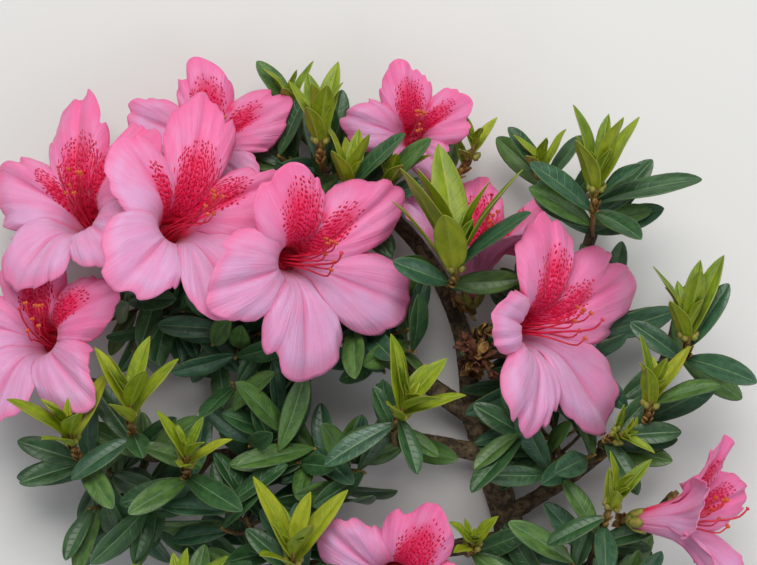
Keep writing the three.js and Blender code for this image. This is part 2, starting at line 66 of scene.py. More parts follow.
# The branch's own measures, in millimetres and degrees, as its CAD source has them.
TUBE_LENGTH = 18
TUBE_RADIUS = 2.6
LOBE_LENGTH = 34
TUBE_SLOPE = 16
LOBE_SLOPE = 86
PLUG_DEPTH = 3
LOBE_OVERLAP = 0.61
LOBE_START = 0.95 * TUBE_LENGTH
LOBE_DROOP = 2.6
RIM_WAVE = 1.6
STAMEN_LENGTH = 36
STYLE_LENGTH = 46
STALK_RADIUS = 1.3
STALK_BEND = 12
LEAF_HALF_WIDTH = 0.18
LEAF_ARCH = 0.16
LEAF_KEEL = 0.9
GOLDEN_TURN = 137.5
ROSETTE_FOOT = 0.79
TRIAL_TURNS = [0, 20, -20, 42, -42, 70, -70]
SHOOT_RADIUS = 1.2
INNER_LEAF_LENGTH = 29
INNER_TWIGS = 2
INNER_LEAVES_PER_TWIG = 3
INNER_TWIG_LENGTH = 15

# Limbs: radius at the foot and at the tip, and the route of the centre line.
LIMBS = {
    "main_limb": ((6.6, 4.9), [(58, -146, 6.6), (56, -120, 7.2), (48, -86, 9.5), (36, -48, 12)]),
    "bough_left": ((3.9, 1.9), [(37, -52, 11.5), (6, -30, 17), (-30, -9, 19), (-70, 2, 15),
                                (-110, -3, 2.4)]),
    "bough_centre": ((4.1, 1.8), [(36, -50, 12), (32, -20, 18), (18, 10, 20), (-4, 34, 15),
                                  (-30, 58, 2.2)]),
    "bough_upper_right": ((3.5, 1.8), [(36, -50, 12), (56, -26, 17), (74, 0, 18), (84, 26, 12),
                                       (86, 50, 2.4)]),
    "bough_right": ((3.2, 1.7), [(49, -90, 9.2), (74, -74, 14), (97, -54, 14), (112, -26, 8),
                                 (117, -8, 2.2)]),
    "bough_lower_right": ((3, 1.8), [(56, -120, 7.2), (76, -112, 12), (97, -98, 14),
                                     (112, -84, 10)]),
    "bough_lower_left": ((3.7, 1.8), [(42, -66, 10.8), (6, -60, 15), (-30, -62, 16),
                                      (-68, -67, 12), (-104, -66, 2.3)]),
    "bough_bottom_left": ((3.4, 1.7), [(51, -98, 8.7), (16, -104, 14), (-18, -108, 15),
                                       (-52, -112, 10), (-84, -118, 2.2)]),
}

# Blooms: throat, turn to +X, tip to +Y, opening, size, the limb and the place on it, and
# each lobe's bearing and length, spotted lobe first.
BLOOMS = {
    "bloom_1": ((-111, 25, 46), -25, 30, 1, 1, "bough_left", 0.9,
                [(94, 1.34), (46, 1.12), (-40, 0.86), (-122, 0.95), (150, 1)]),
    "bloom_2": ((-72.5, 21.5, 61), 25, 20, 1, 1, "bough_left", 0.74,
                [(77, 1.32), (25, 1.14), (-58, 1.1), (-132, 1), (130, 0.92)]),
    "bloom_3": ((-29, 7.5, 60), 25, -5, 1, 1, "bough_left", 0.47,
                [(100, 0.95), (37, 1.15), (-22, 1.22), (-88, 1.15), (-165, 1)]),
    "bloom_4": ((-126, -20, 45), -20, 15, 1, 0.95, "bough_left", 0.985,
                [(95, 1), (25, 1), (-45, 1), (-118, 1), (170, 1)]),
    "bloom_5": ((57, -17, 60), 45, 0, 1, 1, "bough_centre", 0.2,
                [(86, 1.04), (25, 1.36), (-46, 1.34), (-101, 1.02), (168, 0.72)]),
    "bloom_6": ((5, -110, 50), -5, -10, 1, 0.95, "bough_bottom_left", 0.28,
                [(60, 0.95), (-12, 1), (-84, 1), (-156, 1), (138, 0.9)]),
    "bloom_7": ((109, -87, 55), 68, 5, 0.6, 0.95, "bough_lower_right", 0.8,
                [(90, 1), (18, 1), (-54, 1), (-126, 1), (162, 0.9)]),
    "bloom_8": ((36, 8, 34), 4, 66, 0.52, 0.95, "bough_centre", 0.4,
                [(90, 1), (18, 1), (-54, 1), (-126, 0.9), (162, 1)]),
    "bloom_9": ((12, 55, 30), -5, 10, 0.85, 0.72, "bough_centre", 0.8,
                [(95, 1), (23, 1), (-49, 0.75), (-121, 0.6), (167, 0.95)]),
    "bloom_10": ((-64, 52, 25), 0, 12, 0.9, 0.84, "bough_left", 0.62,
                 [(98, 1), (24, 1.05), (-50, 0.75), (-122, 0.6), (162, 1)]),
}

# Shoots: limb, place on it, rosette's place, its axis, number, length and opening of the
# young leaves, and the older leaves as place on the stem, bearing, lift and length.
SHOOTS = [
    ("bough_lower_left", 0.97, (-113, -52, 62), (95, 36), 7, 31, 44,
     [(0.75, 245, 5, 28), (0.6, 160, 10, 26), (0.45, 300, 15, 26)]),
    ("bough_lower_left", 0.84, (-90, -41, 68), (88, 26), 7, 31, 40,
     [(0.7, 207, 12, 27), (0.5, 270, 12, 29), (0.62, 330, 5, 25), (0.4, 150, 5, 26)]),
    ("bough_lower_left", 0.72, (-69, -61, 66), (78, 36), 6, 24, 50,
     [(0.82, 308, 8, 38), (0.6, 200, 5, 27), (0.45, 80, 0, 27)]),
    ("bough_bottom_left", 0.52, (-31, -97, 64), (86, 34), 6, 34, 42,
     [(0.75, 135, 5, 24), (0.6, 20, 5, 27), (0.5, 260, 10, 28)]),
    ("bough_bottom_left", 0.82, (-73, -113, 58), (92, 42), 6, 27, 58,
     [(0.7, 200, 5, 27), (0.55, 320, 5, 27), (0.6, 80, 0, 25)]),
    ("bough_lower_left", 0.2, (10, -43, 68), (64, 34), 7, 31, 42,
     [(0.8, 205, 10, 30), (0.86, 292, 25, 22), (0.55, 248, 12, 34), (0.7, 115, 12, 18),
      (0.75, 330, 12, 19)]),
    ("bough_centre", 0.52, (28.5, 10, 66), (90, 18), 8, 47, 32,
     [(0.62, 135, 14, 38), (0.72, 28, 20, 26), (0.9, 46, 25, 35), (0.55, 352, 25, 17)]),
    ("bough_upper_right", 0.72, (79, 40, 70), (86, 20), 6, 33, 26,
     [(0.8, 19, 12, 39), (0.72, 137, 18, 30), (0.82, 47, 35, 23), (0.6, 16, 15, 22),
      (0.55, 150, 5, 24), (0.68, 36, 8, 19)]),
    ("bough_centre", 0.78, (-10, 38, 50), (88, 22), 6, 27, 26,
     [(0.9, 52, 20, 29), (0.6, 20, 5, 24)]),
    ("bough_centre", 0.86, (-21, 57, 58), (86, 22), 8, 29, 30, [(0.6, 100, 5, 26)]),
    ("bough_centre", 0.97, (-33, 69, 24), (98, 20), 5, 20, 36, [(0.8, 120, 12, 24)]),
    ("bough_centre", 0.68, (3, 37, 46), (70, 28), 5, 25, 30,
     [(0.9, 55, 28, 27), (0.7, 25, 15, 20)]),
    ("bough_right", 0.86, (113, -14, 62), (90, 20), 6, 33, 28,
     [(0.8, 60, 12, 28), (0.55, 330, 8, 26), (0.6, 140, 5, 24)]),
    ("bough_right", 0.62, (100, -40, 60), (80, 24), 5, 27, 26,
     [(0.9, 24, 15, 27), (0.6, 190, 5, 24)]),
    ("bough_right", 0.42, (90, -56, 50), (20, 45), 4, 18, 45,
     [(0.9, 8, 12, 24), (0.8, 345, 10, 24), (0.7, 310, 10, 20)]),
    ("bough_lower_right", 0.4, (87, -77, 59), (70, 30), 5, 22, 34,
     [(0.8, 200, 5, 24), (0.6, 120, 5, 24)]),
    ("bough_bottom_left", 0.14, (35, -96, 44), (88, 50), 5, 17, 48, [(0.7, 330, 5, 24)]),
    ("bough_upper_right", 0.86, (61, 44, 38), (100, 25), 5, 21, 42,
     [(0.9, 125, 12, 22), (0.8, 60, 5, 22)]),
    ("bough_centre", 0.74, (36, 52, 34), (82, 35), 5, 17, 42, []),
]

# Older foliage low on the boughs: limb, place on it, and the crown's place.
INNER_FOLIAGE = [
    ("bough_left", 0.28, (2, -18, 36)),
    ("bough_left", 0.6, (-52, -24, 36)),
    ("bough_left", 0.84, (-88, -12, 30)),
    ("bough_lower_left", 0.42, (-16, -76, 38)),
    ("bough_lower_left", 0.6, (-46, -50, 38)),
    ("bough_lower_left", 0.9, (-98, -86, 28)),
    ("bough_bottom_left", 0.66, (-50, -88, 34)),
    ("bough_centre", 0.9, (-34, 36, 26)),
    ("bough_upper_right", 0.4, (72, -22, 34)),
    ("bough_right", 0.25, (66, -56, 36)),
    ("bough_lower_right", 0.35, (78, -122, 34)),
]

# The source's origin in the row frame, from the cut face where the main limb starts.
CUT_FACE = np.array(frame["record"]["mounts"][0]["pos_m"])
ORIGIN = CUT_FACE - np.array(LIMBS["main_limb"][1][0]) * MM

UP = np.array([0.0, 0.0, 1.0])


def world(points):
    """Millimetres in the source's coordinates as metres in the row frame."""
    return np.asarray(points) * MM + ORIGIN


def unit(vector):
    return vector / np.linalg.norm(vector)


def smooth(value, low, high):
    """0 up to low, 1 from high, and a smooth step between."""
    share = np.clip((value - low) / (high - low), 0, 1)
    return share * share * (3 - 2 * share)


def heading(bearing, lift):
    flat = math.cos(math.radians(lift))
    return np.array([flat * math.cos(math.radians(bearing)),
                     flat * math.sin(math.radians(bearing)), math.sin(math.radians(lift))])


def turned(vector, axis, degrees):
    """A vector turned about a unit axis."""
    cosine = math.cos(math.radians(degrees))
    sine = math.sin(math.radians(degrees))
    return (vector * cosine + np.cross(axis, vector) * sine
            + axis * np.dot(axis, vector) * (1 - cosine))


def spoke(axis, degrees, nudge=(0.2, 0.3, 0)):
    """A direction square to an axis, turned about it. Nudged, it holds for upright axes."""
    return turned(unit(np.cross(axis, UP + np.array(nudge))), axis, degrees)


def leaning(axis, lean, degrees, nudge=(0, 0, 0)):
    """A direction that leans off an axis, turned about it."""
    side = unit(np.cross(UP + np.array(nudge), axis))
    return turned(turned(axis, side, lean), axis, degrees)


def seeded(seed):
    """The source's own generator of numbers from 0 to 1."""
    state = seed
    while True:
        state = state * 16807 % 2147483647
        yield state / 2147483647


class Route:
    """A curve through dense points, read by its share of length."""

    def __init__(self, points):
        self.points = np.array(points, dtype=float)
        steps = np.linalg.norm(np.diff(self.points, axis=0), axis=1)
        self.length = steps.sum()
        self.shares = np.concatenate([[0], np.cumsum(steps)]) / self.length

    def at(self, share):
        return np.stack([np.interp(share, self.shares, self.points[:, k]) for k in range(3)],
                        axis=-1)

    def tangent(self, share):
        reach = 0.001
        return unit(self.at(min(share + reach, 1)) - self.at(max(share - reach, 0)))


def spline_route(points, samples=60):
    """The centripetal Catmull-Rom curve through a few points."""
    knots = [np.array(p, dtype=float) for p in points]
    knots = [2 * knots[0] - knots[1], *knots, 2 * knots[-1] - knots[-2]]
    dense = []
    for before, start, end, after in zip(knots, knots[1:], knots[2:], knots[3:]):
        first = np.linalg.norm(start - before) ** 0.5
        middle = np.linalg.norm(end - start) ** 0.5
        last = np.linalg.norm(after - end) ** 0.5
        leave = middle * ((start - before) / first - (end - before) / (first + middle)
                          + (end - start) / middle)
        arrive = middle * ((end - start) / middle - (after - start) / (middle + last)
                           + (after - end) / last)
        for t in np.linspace(0, 1, samples, endpoint=False):
            dense.append(start + leave * t
                         + (3 * (end - start) - 2 * leave - arrive) * t ** 2
                         + (2 * (start - end) + leave + arrive) * t ** 3)
    dense.append(knots[-2])
    return Route(dense)


def bent_route(foot, bend, tip, samples=400):
    """A quadratic curve from foot to tip, drawn towards bend."""
    t = np.linspace(0, 1, samples)[:, None]
    return Route((1 - t) ** 2 * foot + 2 * (1 - t) * t * bend + t ** 2 * tip)


def stalk_route(foot, top, axis, longest_bend=math.inf):
    """A stem that leaves its foot freely and ends at its top along an axis."""
    bend = min(np.linalg.norm(foot - top) / 2, longest_bend)
    return bent_route(foot, top - axis * bend, top)


def link(name, data, place=(0, 0, 0)):
    """Puts a new object in the scene."""
    holder = bpy.data.objects.new(name, data)
    holder.location = place
    bpy.context.scene.collection.objects.link(holder)
    return holder


class Piece:
    """One piece of the scene while its mesh is collected, in the source's millimetres."""

    def __init__(self, name):
        self.name = name
        self.points = []
        self.faces = []
        self.finishes = []
        self.place = []
        self.mark = []
        self.count = 0

    def add(self, points, faces, finishes, place, mark=(0, 0, 0)):
        """place and mark are three numbers for each point that the materials read."""
        points = np.reshape(points, (-1, 3))
        self.points.append(points)
        self.faces.extend([tuple(i + self.count for i in face) for face in faces])
        self.finishes.extend(finishes)
        self.place.append(np.broadcast_to(place, points.shape))
        self.mark.append(np.broadcast_to(mark, points.shape))
        self.count += len(points)

    def finish(self, materials, slot, replaced=()):
        """Makes the object, which rides on the one body."""
        mesh = bpy.data.meshes.new(self.name)
        points = world(np.concatenate(self.points))
        points[:, 2] = np.maximum(points[:, 2], 0)
        mesh.from_pydata(points.tolist(), [], self.faces)
        for material in materials:
            mesh.materials.append(material)
        mesh.polygons.foreach_set("material_index", self.finishes)
        mesh.polygons.foreach_set("use_smooth", [True] * len(self.faces))
        for name, values in (("place", self.place), ("mark", self.mark)):
            layer = mesh.attributes.new(name, "FLOAT_VECTOR", "POINT")
            layer.data.foreach_set("vector", np.concatenate(values).ravel())
        mesh.update()
        piece = link(self.name, mesh)
        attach(piece, "root")
        if replaced:
            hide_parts(*replaced)


def blade_grid(root, direction, facing, along, across, height):
    """Points along a direction from a root, across it and above it on its facing side."""
    normal = unit(facing - direction * np.dot(facing, direction))
    side = np.cross(direction, normal)
    return (root + direction * along[..., None] + side * across[..., None]
            + normal * height[..., None])


def add_sheet(piece, grid, thickness, finish, place, mark=(0, 0, 0)):
    """A grid of points as a thin closed sheet, its upper face where rows turn to columns.
    finish is one number, or one for each column of faces."""
    rows, columns = grid.shape[:2]
    normal = np.cross(np.gradient(grid, axis=1), np.gradient(grid, axis=0))
    normal /= np.maximum(np.linalg.norm(normal, axis=2, keepdims=True), 1e-9)
    under = grid - normal * np.broadcast_to(thickness, (rows, columns))[..., None]
    size = rows * columns
    corners = [row * columns + column for row in range(rows - 1) for column in range(columns - 1)]
    upper = [(c, c + 1, c + columns + 1, c + columns) for c in corners]
    lower = [tuple(i + size for i in face[::-1]) for face in upper]
    edge = [*range(columns), *range(2 * columns - 1, size, columns),
            *range(size - 2, size - columns - 1, -1),
            *range(size - 2 * columns, 0, -columns)]
    rim = [(a, a + size, b + size, b) for a, b in zip(edge, edge[1:] + edge[:1])]
    finish = np.broadcast_to(finish, columns - 1).tolist()
    doubled = [np.concatenate([np.broadcast_to(values, grid.shape).reshape(-1, 3)] * 2)
               for values in (place, mark)]
    piece.add(np.concatenate([grid.reshape(-1, 3), under.reshape(-1, 3)]), upper + lower + rim,
              finish * (rows - 1) * 2 + finish[:1] * len(rim), *doubled)


def add_tube(piece, route, radius_of, steps, around, finish=0, cap=None):
    """A closed tube. radius_of takes arrays of the share along and the angle round it."""
    shares = np.linspace(0, 1, steps)
    angles = np.linspace(0, 2 * math.pi, around, endpoint=False)
    centres = route.at(shares)
    tangents = np.gradient(centres, axis=0)
    tangents /= np.linalg.norm(tangents, axis=1, keepdims=True)
    helper = UP if abs(tangents[0][2]) < 0.9 else np.array([1.0, 0.0, 0.0])
    side = unit(np.cross(tangents[0], helper))
    sides = []
    for tangent in tangents:
        side = unit(side - tangent * np.dot(side, tangent))
        sides.append(side)
    sides = np.array(sides)
    others = np.cross(tangents, sides)
    share_grid, angle_grid = np.meshgrid(shares, angles, indexing="ij")
    radius = radius_of(share_grid, angle_grid)
    rings = (centres[:, None]
             + sides[:, None] * (radius * np.cos(angle_grid))[..., None]
             + others[:, None] * (radius * np.sin(angle_grid))[..., None])
    place = np.stack([angle_grid / (2 * math.pi), share_grid, share_grid * route.length],
                     axis=-1).reshape(-1, 3)
    points = np.concatenate([rings.reshape(-1, 3), centres[:1], centres[-1:]])
    ends = np.array([[0.5, 0, 0], [0.5, 1, route.length]])
    faces = []
    for row in range(steps - 1):
        for i in range(around):
            corner = row * around + i
            beside = row * around + (i + 1) % around
            faces.append((corner, beside, beside + around, corner + around))
    finishes = [finish] * len(faces)
    foot = steps * around
    last = foot - around
    for i in range(around):
        faces.append((foot, (i + 1) % around, i))
        faces.append((foot + 1, last + i, last + (i + 1) % around))
        finishes += [finish if cap is None else cap, finish]
    piece.add(points, faces, finishes, np.concatenate([place, ends]))


def add_spindle(piece, start, end, thin, thick, power, steps, around, finish):
    """A short closed body from start to end, thickest in its middle."""
    add_tube(piece, Route([start, end]),
             lambda share, angle: thin + thick * np.sin(math.pi * share) ** power,
             steps, around, finish)


# Materials.

def srgb(red, green, blue):
    """A colour given as 0 to 255 on screen, as the linear colour that nodes take."""
    linear = [c / 12.92 if c <= 0.04045 else ((c + 0.055) / 1.055) ** 2.4
              for c in (red / 255, green / 255, blue / 255)]
    return (*linear, 1)


class Finish:
    """A node material with a few short ways to add its nodes."""

    def __init__(self, name, roughness, **sockets):
        """The shader's further sockets are named with underscores for spaces."""
        self.material = bpy.data.materials.new(name)
        self.material.use_nodes = True
        self.tree = self.material.node_tree
        self.shader = next(n for n in self.tree.nodes if n.type == "BSDF_PRINCIPLED")
        self.base = None
        for socket, value in {"Roughness": roughness, **sockets}.items():
            self.shader.inputs[socket.replace("_", " ")].default_value = value

    def node(self, kind, inputs, output=0, **settings):
        """Adds a node. Each input is a plain value or another node's output."""
        node = self.tree.nodes.new(kind)
        for setting, value in settings.items():
            setattr(node, setting, value)
        for socket, value in inputs.items():
            if isinstance(value, bpy.types.NodeSocket):
                self.tree.links.new(value, node.inputs[socket])
            else:
                node.inputs[socket].default_value = value
        return node.outputs[output]

    def attribute(self, name):
        vector = self.node("ShaderNodeAttribute", {}, 1, attribute_name=name)
        return [self.node("ShaderNodeSeparateXYZ", {0: vector}, k) for k in range(3)]

    def object_place(self):
        return self.node("ShaderNodeTexCoord", {}, "Object")

    def math(self, operation, first, second=0.0):
        return self.node("ShaderNodeMath", {0: first, 1: second}, operation=operation)

    def times(self, first, second):
        return self.math("MULTIPLY", first, second)

    def ramp(self, value, low, high, start=0.0, end=1.0):
        """Goes smoothly from start to end while value goes from low to high."""
        return self.node("ShaderNodeMapRange", {0: value, 1: low, 2: high, 3: start, 4: end},
                         interpolation_type="SMOOTHSTEP")

    def noise(self, vector, scale, detail=3.0, roughness=0.5):
        return self.node("ShaderNodeTexNoise",
                         {"Vector": vector, "Scale": scale, "Detail": detail,
                          "Roughness": roughness})

    def streaks(self, across, along, stretch, number, scale=1.0, roughness=0.5):
        """Noise that follows a petal or a blade and differs from one number to the next."""
        place = self.node("ShaderNodeCombineXYZ",
                          {0: self.times(across, stretch[0]), 1: self.times(along, stretch[1]),
                           2: number})
        return self.noise(place, scale, 3.0, roughness)

    def tint(self, factor, colour):
        """Mixes one more colour over the base colour."""
        self.base = self.node("ShaderNodeMix", {0: factor, 6: self.base, 7: srgb(*colour)}, 2,
                              data_type="RGBA")

    def colours(self, factor, first, second):
        """Starts the base colour as a mix of two, each given as 0 to 255."""
        self.base = srgb(*first)
        self.tint(factor, second)

    def done(self, height, distance, strength=0.6):
        """Links the base colour and a bump, and gives the finished material."""
        normal = self.node("ShaderNodeBump",
                           {"Height": height, "Distance": distance, "Strength": strength})
        self.tree.links.new(self.base, self.shader.inputs["Base Color"])
        self.tree.links.new(normal, self.shader.inputs["Normal"])
        return self.material


def petal_finish():
    """Pink petal: paler low lobes and pinker top lobes, partly own colour and partly painted
    light that makes the top lobes brighter as if lit from above; a pinker rim and crease; fine
    veins with pale streaks between them that are partly painted highlight; the flush round the
    spots; a crimson throat with painted shade deeper in the tube. place is across, along and
    distance; mark is the tone with its painted light, blotch, number."""
    finish = Finish("petal_pink", 0.5, Subsurface_Weight=0.3, Subsurface_Scale=0.002,
                    Subsurface_Radius=(1.0, 0.35, 0.5), Sheen_Weight=0.12,
                    Sheen_Roughness=0.4, Specular_IOR_Level=0.28)
    across, along, distance = finish.attribute("place")
    tone_and_light, blotch, number = finish.attribute("mark")
    veins = finish.streaks(across, distance, (22.0, 2.2), number, roughness=0.6)
    clouds = finish.streaks(across, distance, (2.1, 3.0), number, 1.2)
    net = finish.streaks(across, distance, (34.0, 14.0), number)
    fine = finish.streaks(across, distance, (46.0, 6.0), number)
    side = finish.math("ABSOLUTE", across)
    # The tone splits pale low lobes from pink top lobes: partly the petals' own colour and partly
    # painted light, the top lobes made brighter as if lit from above.
    finish.colours(finish.math("ADD", tone_and_light, finish.ramp(clouds, 0.3, 0.7, -0.2, 0.2)),
                   (217, 158, 198), (238, 114, 164))
    finish.tint(finish.ramp(veins, 0.5, 0.72, 0.0, 0.2), (214, 92, 150))
    # Pale streaks between the veins: partly pale veins, partly painted highlight.
    finish.tint(finish.ramp(veins, 0.5, 0.3, 0.0, 0.1), (232, 196, 222))
    rim = finish.math("MAXIMUM", side, along)
    finish.tint(finish.ramp(rim, 0.8, 1.0, 0.0, 0.6), (240, 98, 148))
    crease = finish.ramp(side, 0.09, 0.0, 0.0, 0.5)
    finish.tint(finish.times(crease, finish.ramp(along, 0.95, 0.4)), (222, 80, 132))
    finish.tint(finish.times(blotch, finish.ramp(net, 0.35, 0.65, 0.74, 1.0)), (228, 18, 82))
    # A crimson throat, then a darker crimson deep in the tube that is painted shade of the
    # hollow.
    for start, end, least, colour in ((0.34, 0.16, 0.25, (240, 14, 70)),
                                      (0.2, 0.08, 0.5, (186, 10, 44))):
        throat = finish.ramp(distance, start, end)
        finish.tint(finish.times(throat, finish.ramp(tone_and_light, 0.3, 0.75, least, 1.0)), colour)
    return finish.done(finish.math("ADD", veins, finish.times(fine, 0.5)), 0.0006)


def spotted_finish(name, colours, roughness, scale, bump, **sockets):
    """Two colours mixed by noise, with a bump of the same noise."""
    finish = Finish(name, roughness, **sockets)
    grain = finish.noise(finish.object_place(), scale, 4.0, 0.6)
    finish.colours(finish.ramp(grain, 0.35, 0.65), *colours)
    return finish.done(grain, bump)


def leaf_finish(name, blade, dark, vein, roughness, subsurface):
    """A leaf blade: soft mottling, side veins that leave the midrib at a slant, and a fine
    grain. place is across, along and length."""
    finish = Finish(name, roughness, Specular_IOR_Level=0.45, Subsurface_Weight=subsurface,
                    Subsurface_Scale=0.0015, Subsurface_Radius=(0.7, 1.0, 0.2))
    across, along, _ = finish.attribute("place")
    number = finish.attribute("mark")[0]
    side = finish.math("ABSOLUTE", across)
    slant = finish.math("SUBTRACT", finish.times(along, 9.0), finish.times(side, 1.1))
    ridge = finish.math("ABSOLUTE", finish.math("SUBTRACT", finish.math("FRACT", slant), 0.5))
    line = finish.ramp(ridge, 0.11, 0.0)
    mottle = finish.streaks(across, along, (1.3, 3.2), number, 1.6)
    finish.colours(finish.ramp(mottle, 0.32, 0.68), dark, blade)
    finish.tint(finish.times(line, 0.14), vein)
    grain = finish.noise(finish.object_place(), 1500.0, 2.0)
    relief = finish.math("SUBTRACT", finish.times(grain, 0.4), finish.times(line, 0.4))
    return finish.done(relief, 0.0003)


def bark_finish():
    """Brown bark with dark cracks and pale flecks. place is round, along, distance."""
    finish = Finish("bark", 0.88)
    spot = finish.object_place()
    distance = finish.attribute("place")[2]
    rough = finish.noise(spot, 380.0, 5.0, 0.65)
    patches = finish.noise(spot, 60.0)
    finish.colours(finish.ramp(patches, 0.35, 0.65), (74, 58, 38), (112, 94, 68))
    finish.tint(finish.ramp(rough, 0.56, 0.44, 0.0, 0.8), (40, 30, 19))
    finish.tint(finish.ramp(rough, 0.62, 0.72, 0.0, 0.6), (148, 136, 108))
    rings = finish.math("SINE", finish.times(distance, 2.4))
    return finish.done(finish.math("ADD", rough, finish.times(rings, 0.08)), 0.0012, 0.8)


def cut_wood_finish():
    """The pale cut end with its year rings about the middle of the limb."""
    finish = Finish("cut_wood", 0.7)
    spot = finish.node("ShaderNodeVectorMath", {0: finish.object_place(), 1: Vector(CUT_FACE)},
                       operation="SUBTRACT")
    radius = finish.node("ShaderNodeVectorMath", {0: spot}, "Value", operation="LENGTH")
    wander = finish.times(finish.noise(spot, 420.0), 0.0005)
    rings = finish.math("SINE", finish.times(finish.math("ADD", radius, wander), 5200.0))
    finish.colours(finish.ramp(rings, -0.6, 0.9), (206, 182, 134), (174, 143, 92))
    finish.tint(finish.ramp(radius, 0.0011, 0.0006), (120, 86, 52))
    return finish.done(rings, 0.0002, 0.5)


def stem_finish():
    """Young stems: brown below, lighter towards the rosette. place is round, along,
    distance."""
    finish = Finish("shoot_stem", 0.75)
    along = finish.attribute("place")[1]
    grain = finish.noise(finish.object_place(), 900.0, 4.0, 0.6)
    finish.colours(finish.ramp(along, 0.35, 0.9), (96, 74, 44), (148, 116, 50))
    finish.tint(finish.ramp(grain, 0.6, 0.42, 0.0, 0.6), (66, 44, 24))
    return finish.done(grain, 0.0006, 0.8)


PETAL = petal_finish()
# Painted shade: the dark crimson of the plug at the bottom of the tube stands for the shaded
# hollow.
PLUG_SHADE = spotted_finish("throat_painted_shade", ((168, 10, 42), (198, 16, 54)), 0.8, 300.0, 0.0001)
SPOT = spotted_finish("spot_crimson", ((204, 2, 54), (226, 10, 70)), 0.6, 900.0, 0.0001,
                      Specular_IOR_Level=0.2)
FILAMENT = spotted_finish("filament_red", ((186, 18, 48), (214, 40, 72)), 0.4, 300.0, 0.0001,
                          Subsurface_Weight=0.2, Subsurface_Scale=0.001)
ANTHER = spotted_finish("anther_orange", ((184, 50, 30), (214, 104, 48)), 0.6, 1600.0, 0.0002)
CALYX = spotted_finish("calyx_green", ((112, 122, 40), (150, 134, 58)), 0.6, 700.0, 0.0003)
SCALE = spotted_finish("bud_scale", ((112, 76, 34), (158, 124, 60)), 0.7, 500.0, 0.0005)
DRY = spotted_finish("spent_flower", ((62, 28, 20), (112, 66, 38)), 0.8, 600.0, 0.0006)
BARK = bark_finish()
CUT_WOOD = cut_wood_finish()
STEM = stem_finish()
YOUNG = [
    leaf_finish("young_leaf_a", (140, 156, 20), (110, 132, 12), (166, 174, 56), 0.5, 0.2),
    leaf_finish("young_leaf_b", (118, 142, 18), (88, 114, 12), (146, 162, 50), 0.5, 0.2),
    leaf_finish("young_leaf_c", (162, 168, 32), (134, 148, 18), (182, 184, 70), 0.5, 0.2),
]
YOUNG_RIB = spotted_finish("young_midrib", ((144, 158, 46), (156, 168, 58)), 0.5, 600.0,
                           0.0002)
YOUNG_MARGIN = spotted_finish("young_margin", ((132, 146, 34), (144, 148, 42)), 0.5, 600.0,
                              0.0002)
OLD = [
    leaf_finish("old_leaf_a", (54, 92, 50), (37, 70, 39), (86, 122, 76), 0.38, 0.06),
    leaf_finish("old_leaf_b", (60, 98, 70), (42, 76, 54), (94, 130, 100), 0.34, 0.06),
    leaf_finish("old_leaf_c", (84, 118, 52), (60, 92, 40), (114, 144, 80), 0.42, 0.06),
]
OLD_RIB = spotted_finish("old_midrib", ((80, 112, 72), (98, 128, 88)), 0.45, 600.0, 0.0002)
OLD_MARGIN = spotted_finish("old_margin", ((58, 90, 48), (76, 98, 52)), 0.45, 600.0, 0.0002)
LEAF_MATERIALS = [*YOUNG, YOUNG_RIB, YOUNG_MARGIN, *OLD, OLD_RIB, OLD_MARGIN]
YOUNG_SET = (0, 3, 4)
OLD_SET = (5, 8, 9)


# Numbers of the finishes in a piece's list. The first, 0, is always its main one.
CUT_FINISH = 1
PLUG_SHADE_FINISH = 1
ANTHER_FINISH = 1
CALYX_FINISH = 1
SCALE_FINISH = 2
DRY_FINISH = 3


# Limbs.

ROUTES = {name: spline_route(points) for name, (_, points) in LIMBS.items()}
BARK_STEP = 0.9
BARK_SIDES = 28

# The bark's ridges: waves round the limb, turn along it by the millimetre, and height as a
# share of the radius. Leaf scars stand out between them.
BARK_RIDGES = [(3, 0.05, 0.035), (7, -0.11, 0.022), (11, 0.31, 0.016), (0, 0.23, 0.03),
               (5, 1.3, 0.012), (4, -2.1, 0.01)]
BARK_PHASES = 8
SCAR_SPACING = 9
SCAR_RISE = 0.12
SCAR_GROOVE = 0.05
SCAR_HEIGHT = 1.3
SCAR_TURN = 0.7
END_BUD_SCALES = 14
SCALE_THICKNESS = 0.25


def bark_radius(radii, length, draw):
    """A limb's radius with long ridges, swollen leaf scars and fine bumps."""
    phases = [draw.uniform(0, 2 * math.pi) for _ in range(BARK_PHASES)]
    scars = [(draw.uniform(0.03, 0.97), draw.uniform(0, 2 * math.pi))
             for _ in range(int(length / SCAR_SPACING))]

    def radius(share, angle):
        relief = np.zeros_like(share)
        for (waves, turn, height), phase in zip(BARK_RIDGES, phases):
            relief += height * np.sin(waves * angle + turn * share * length + phase)
        for place, bearing in scars:
            off = (share - place) * length
            round_it = np.angle(np.exp(1j * (angle - bearing)))
            relief += SCAR_RISE * np.exp(-(off / SCAR_HEIGHT) ** 2 - (round_it / SCAR_TURN) ** 2)
            relief -= SCAR_GROOVE * np.exp(-(2 * off - 1.6) ** 2)
        return (radii[0] + (radii[1] - radii[0]) * share) * (1 + relief)

    return radius


def add_scale(piece, root, direction, facing, length, width, finish):
    """A small pointed scale, cupped towards its facing side."""
    t, v = np.meshgrid(np.linspace(0, 1, 6), np.linspace(-1, 1, 5), indexing="ij")
    half = width / 2 * np.sin(math.pi * (0.12 + 0.86 * t)) ** 0.8
    cup = 0.25 * width * v ** 2 + 0.12 * length * t ** 2
    grid = blade_grid(root, direction, facing, t * length, half * v, cup)
    add_sheet(piece, grid, SCALE_THICKNESS, finish,
              np.stack([v, t, np.full_like(t, length)], axis=-1))


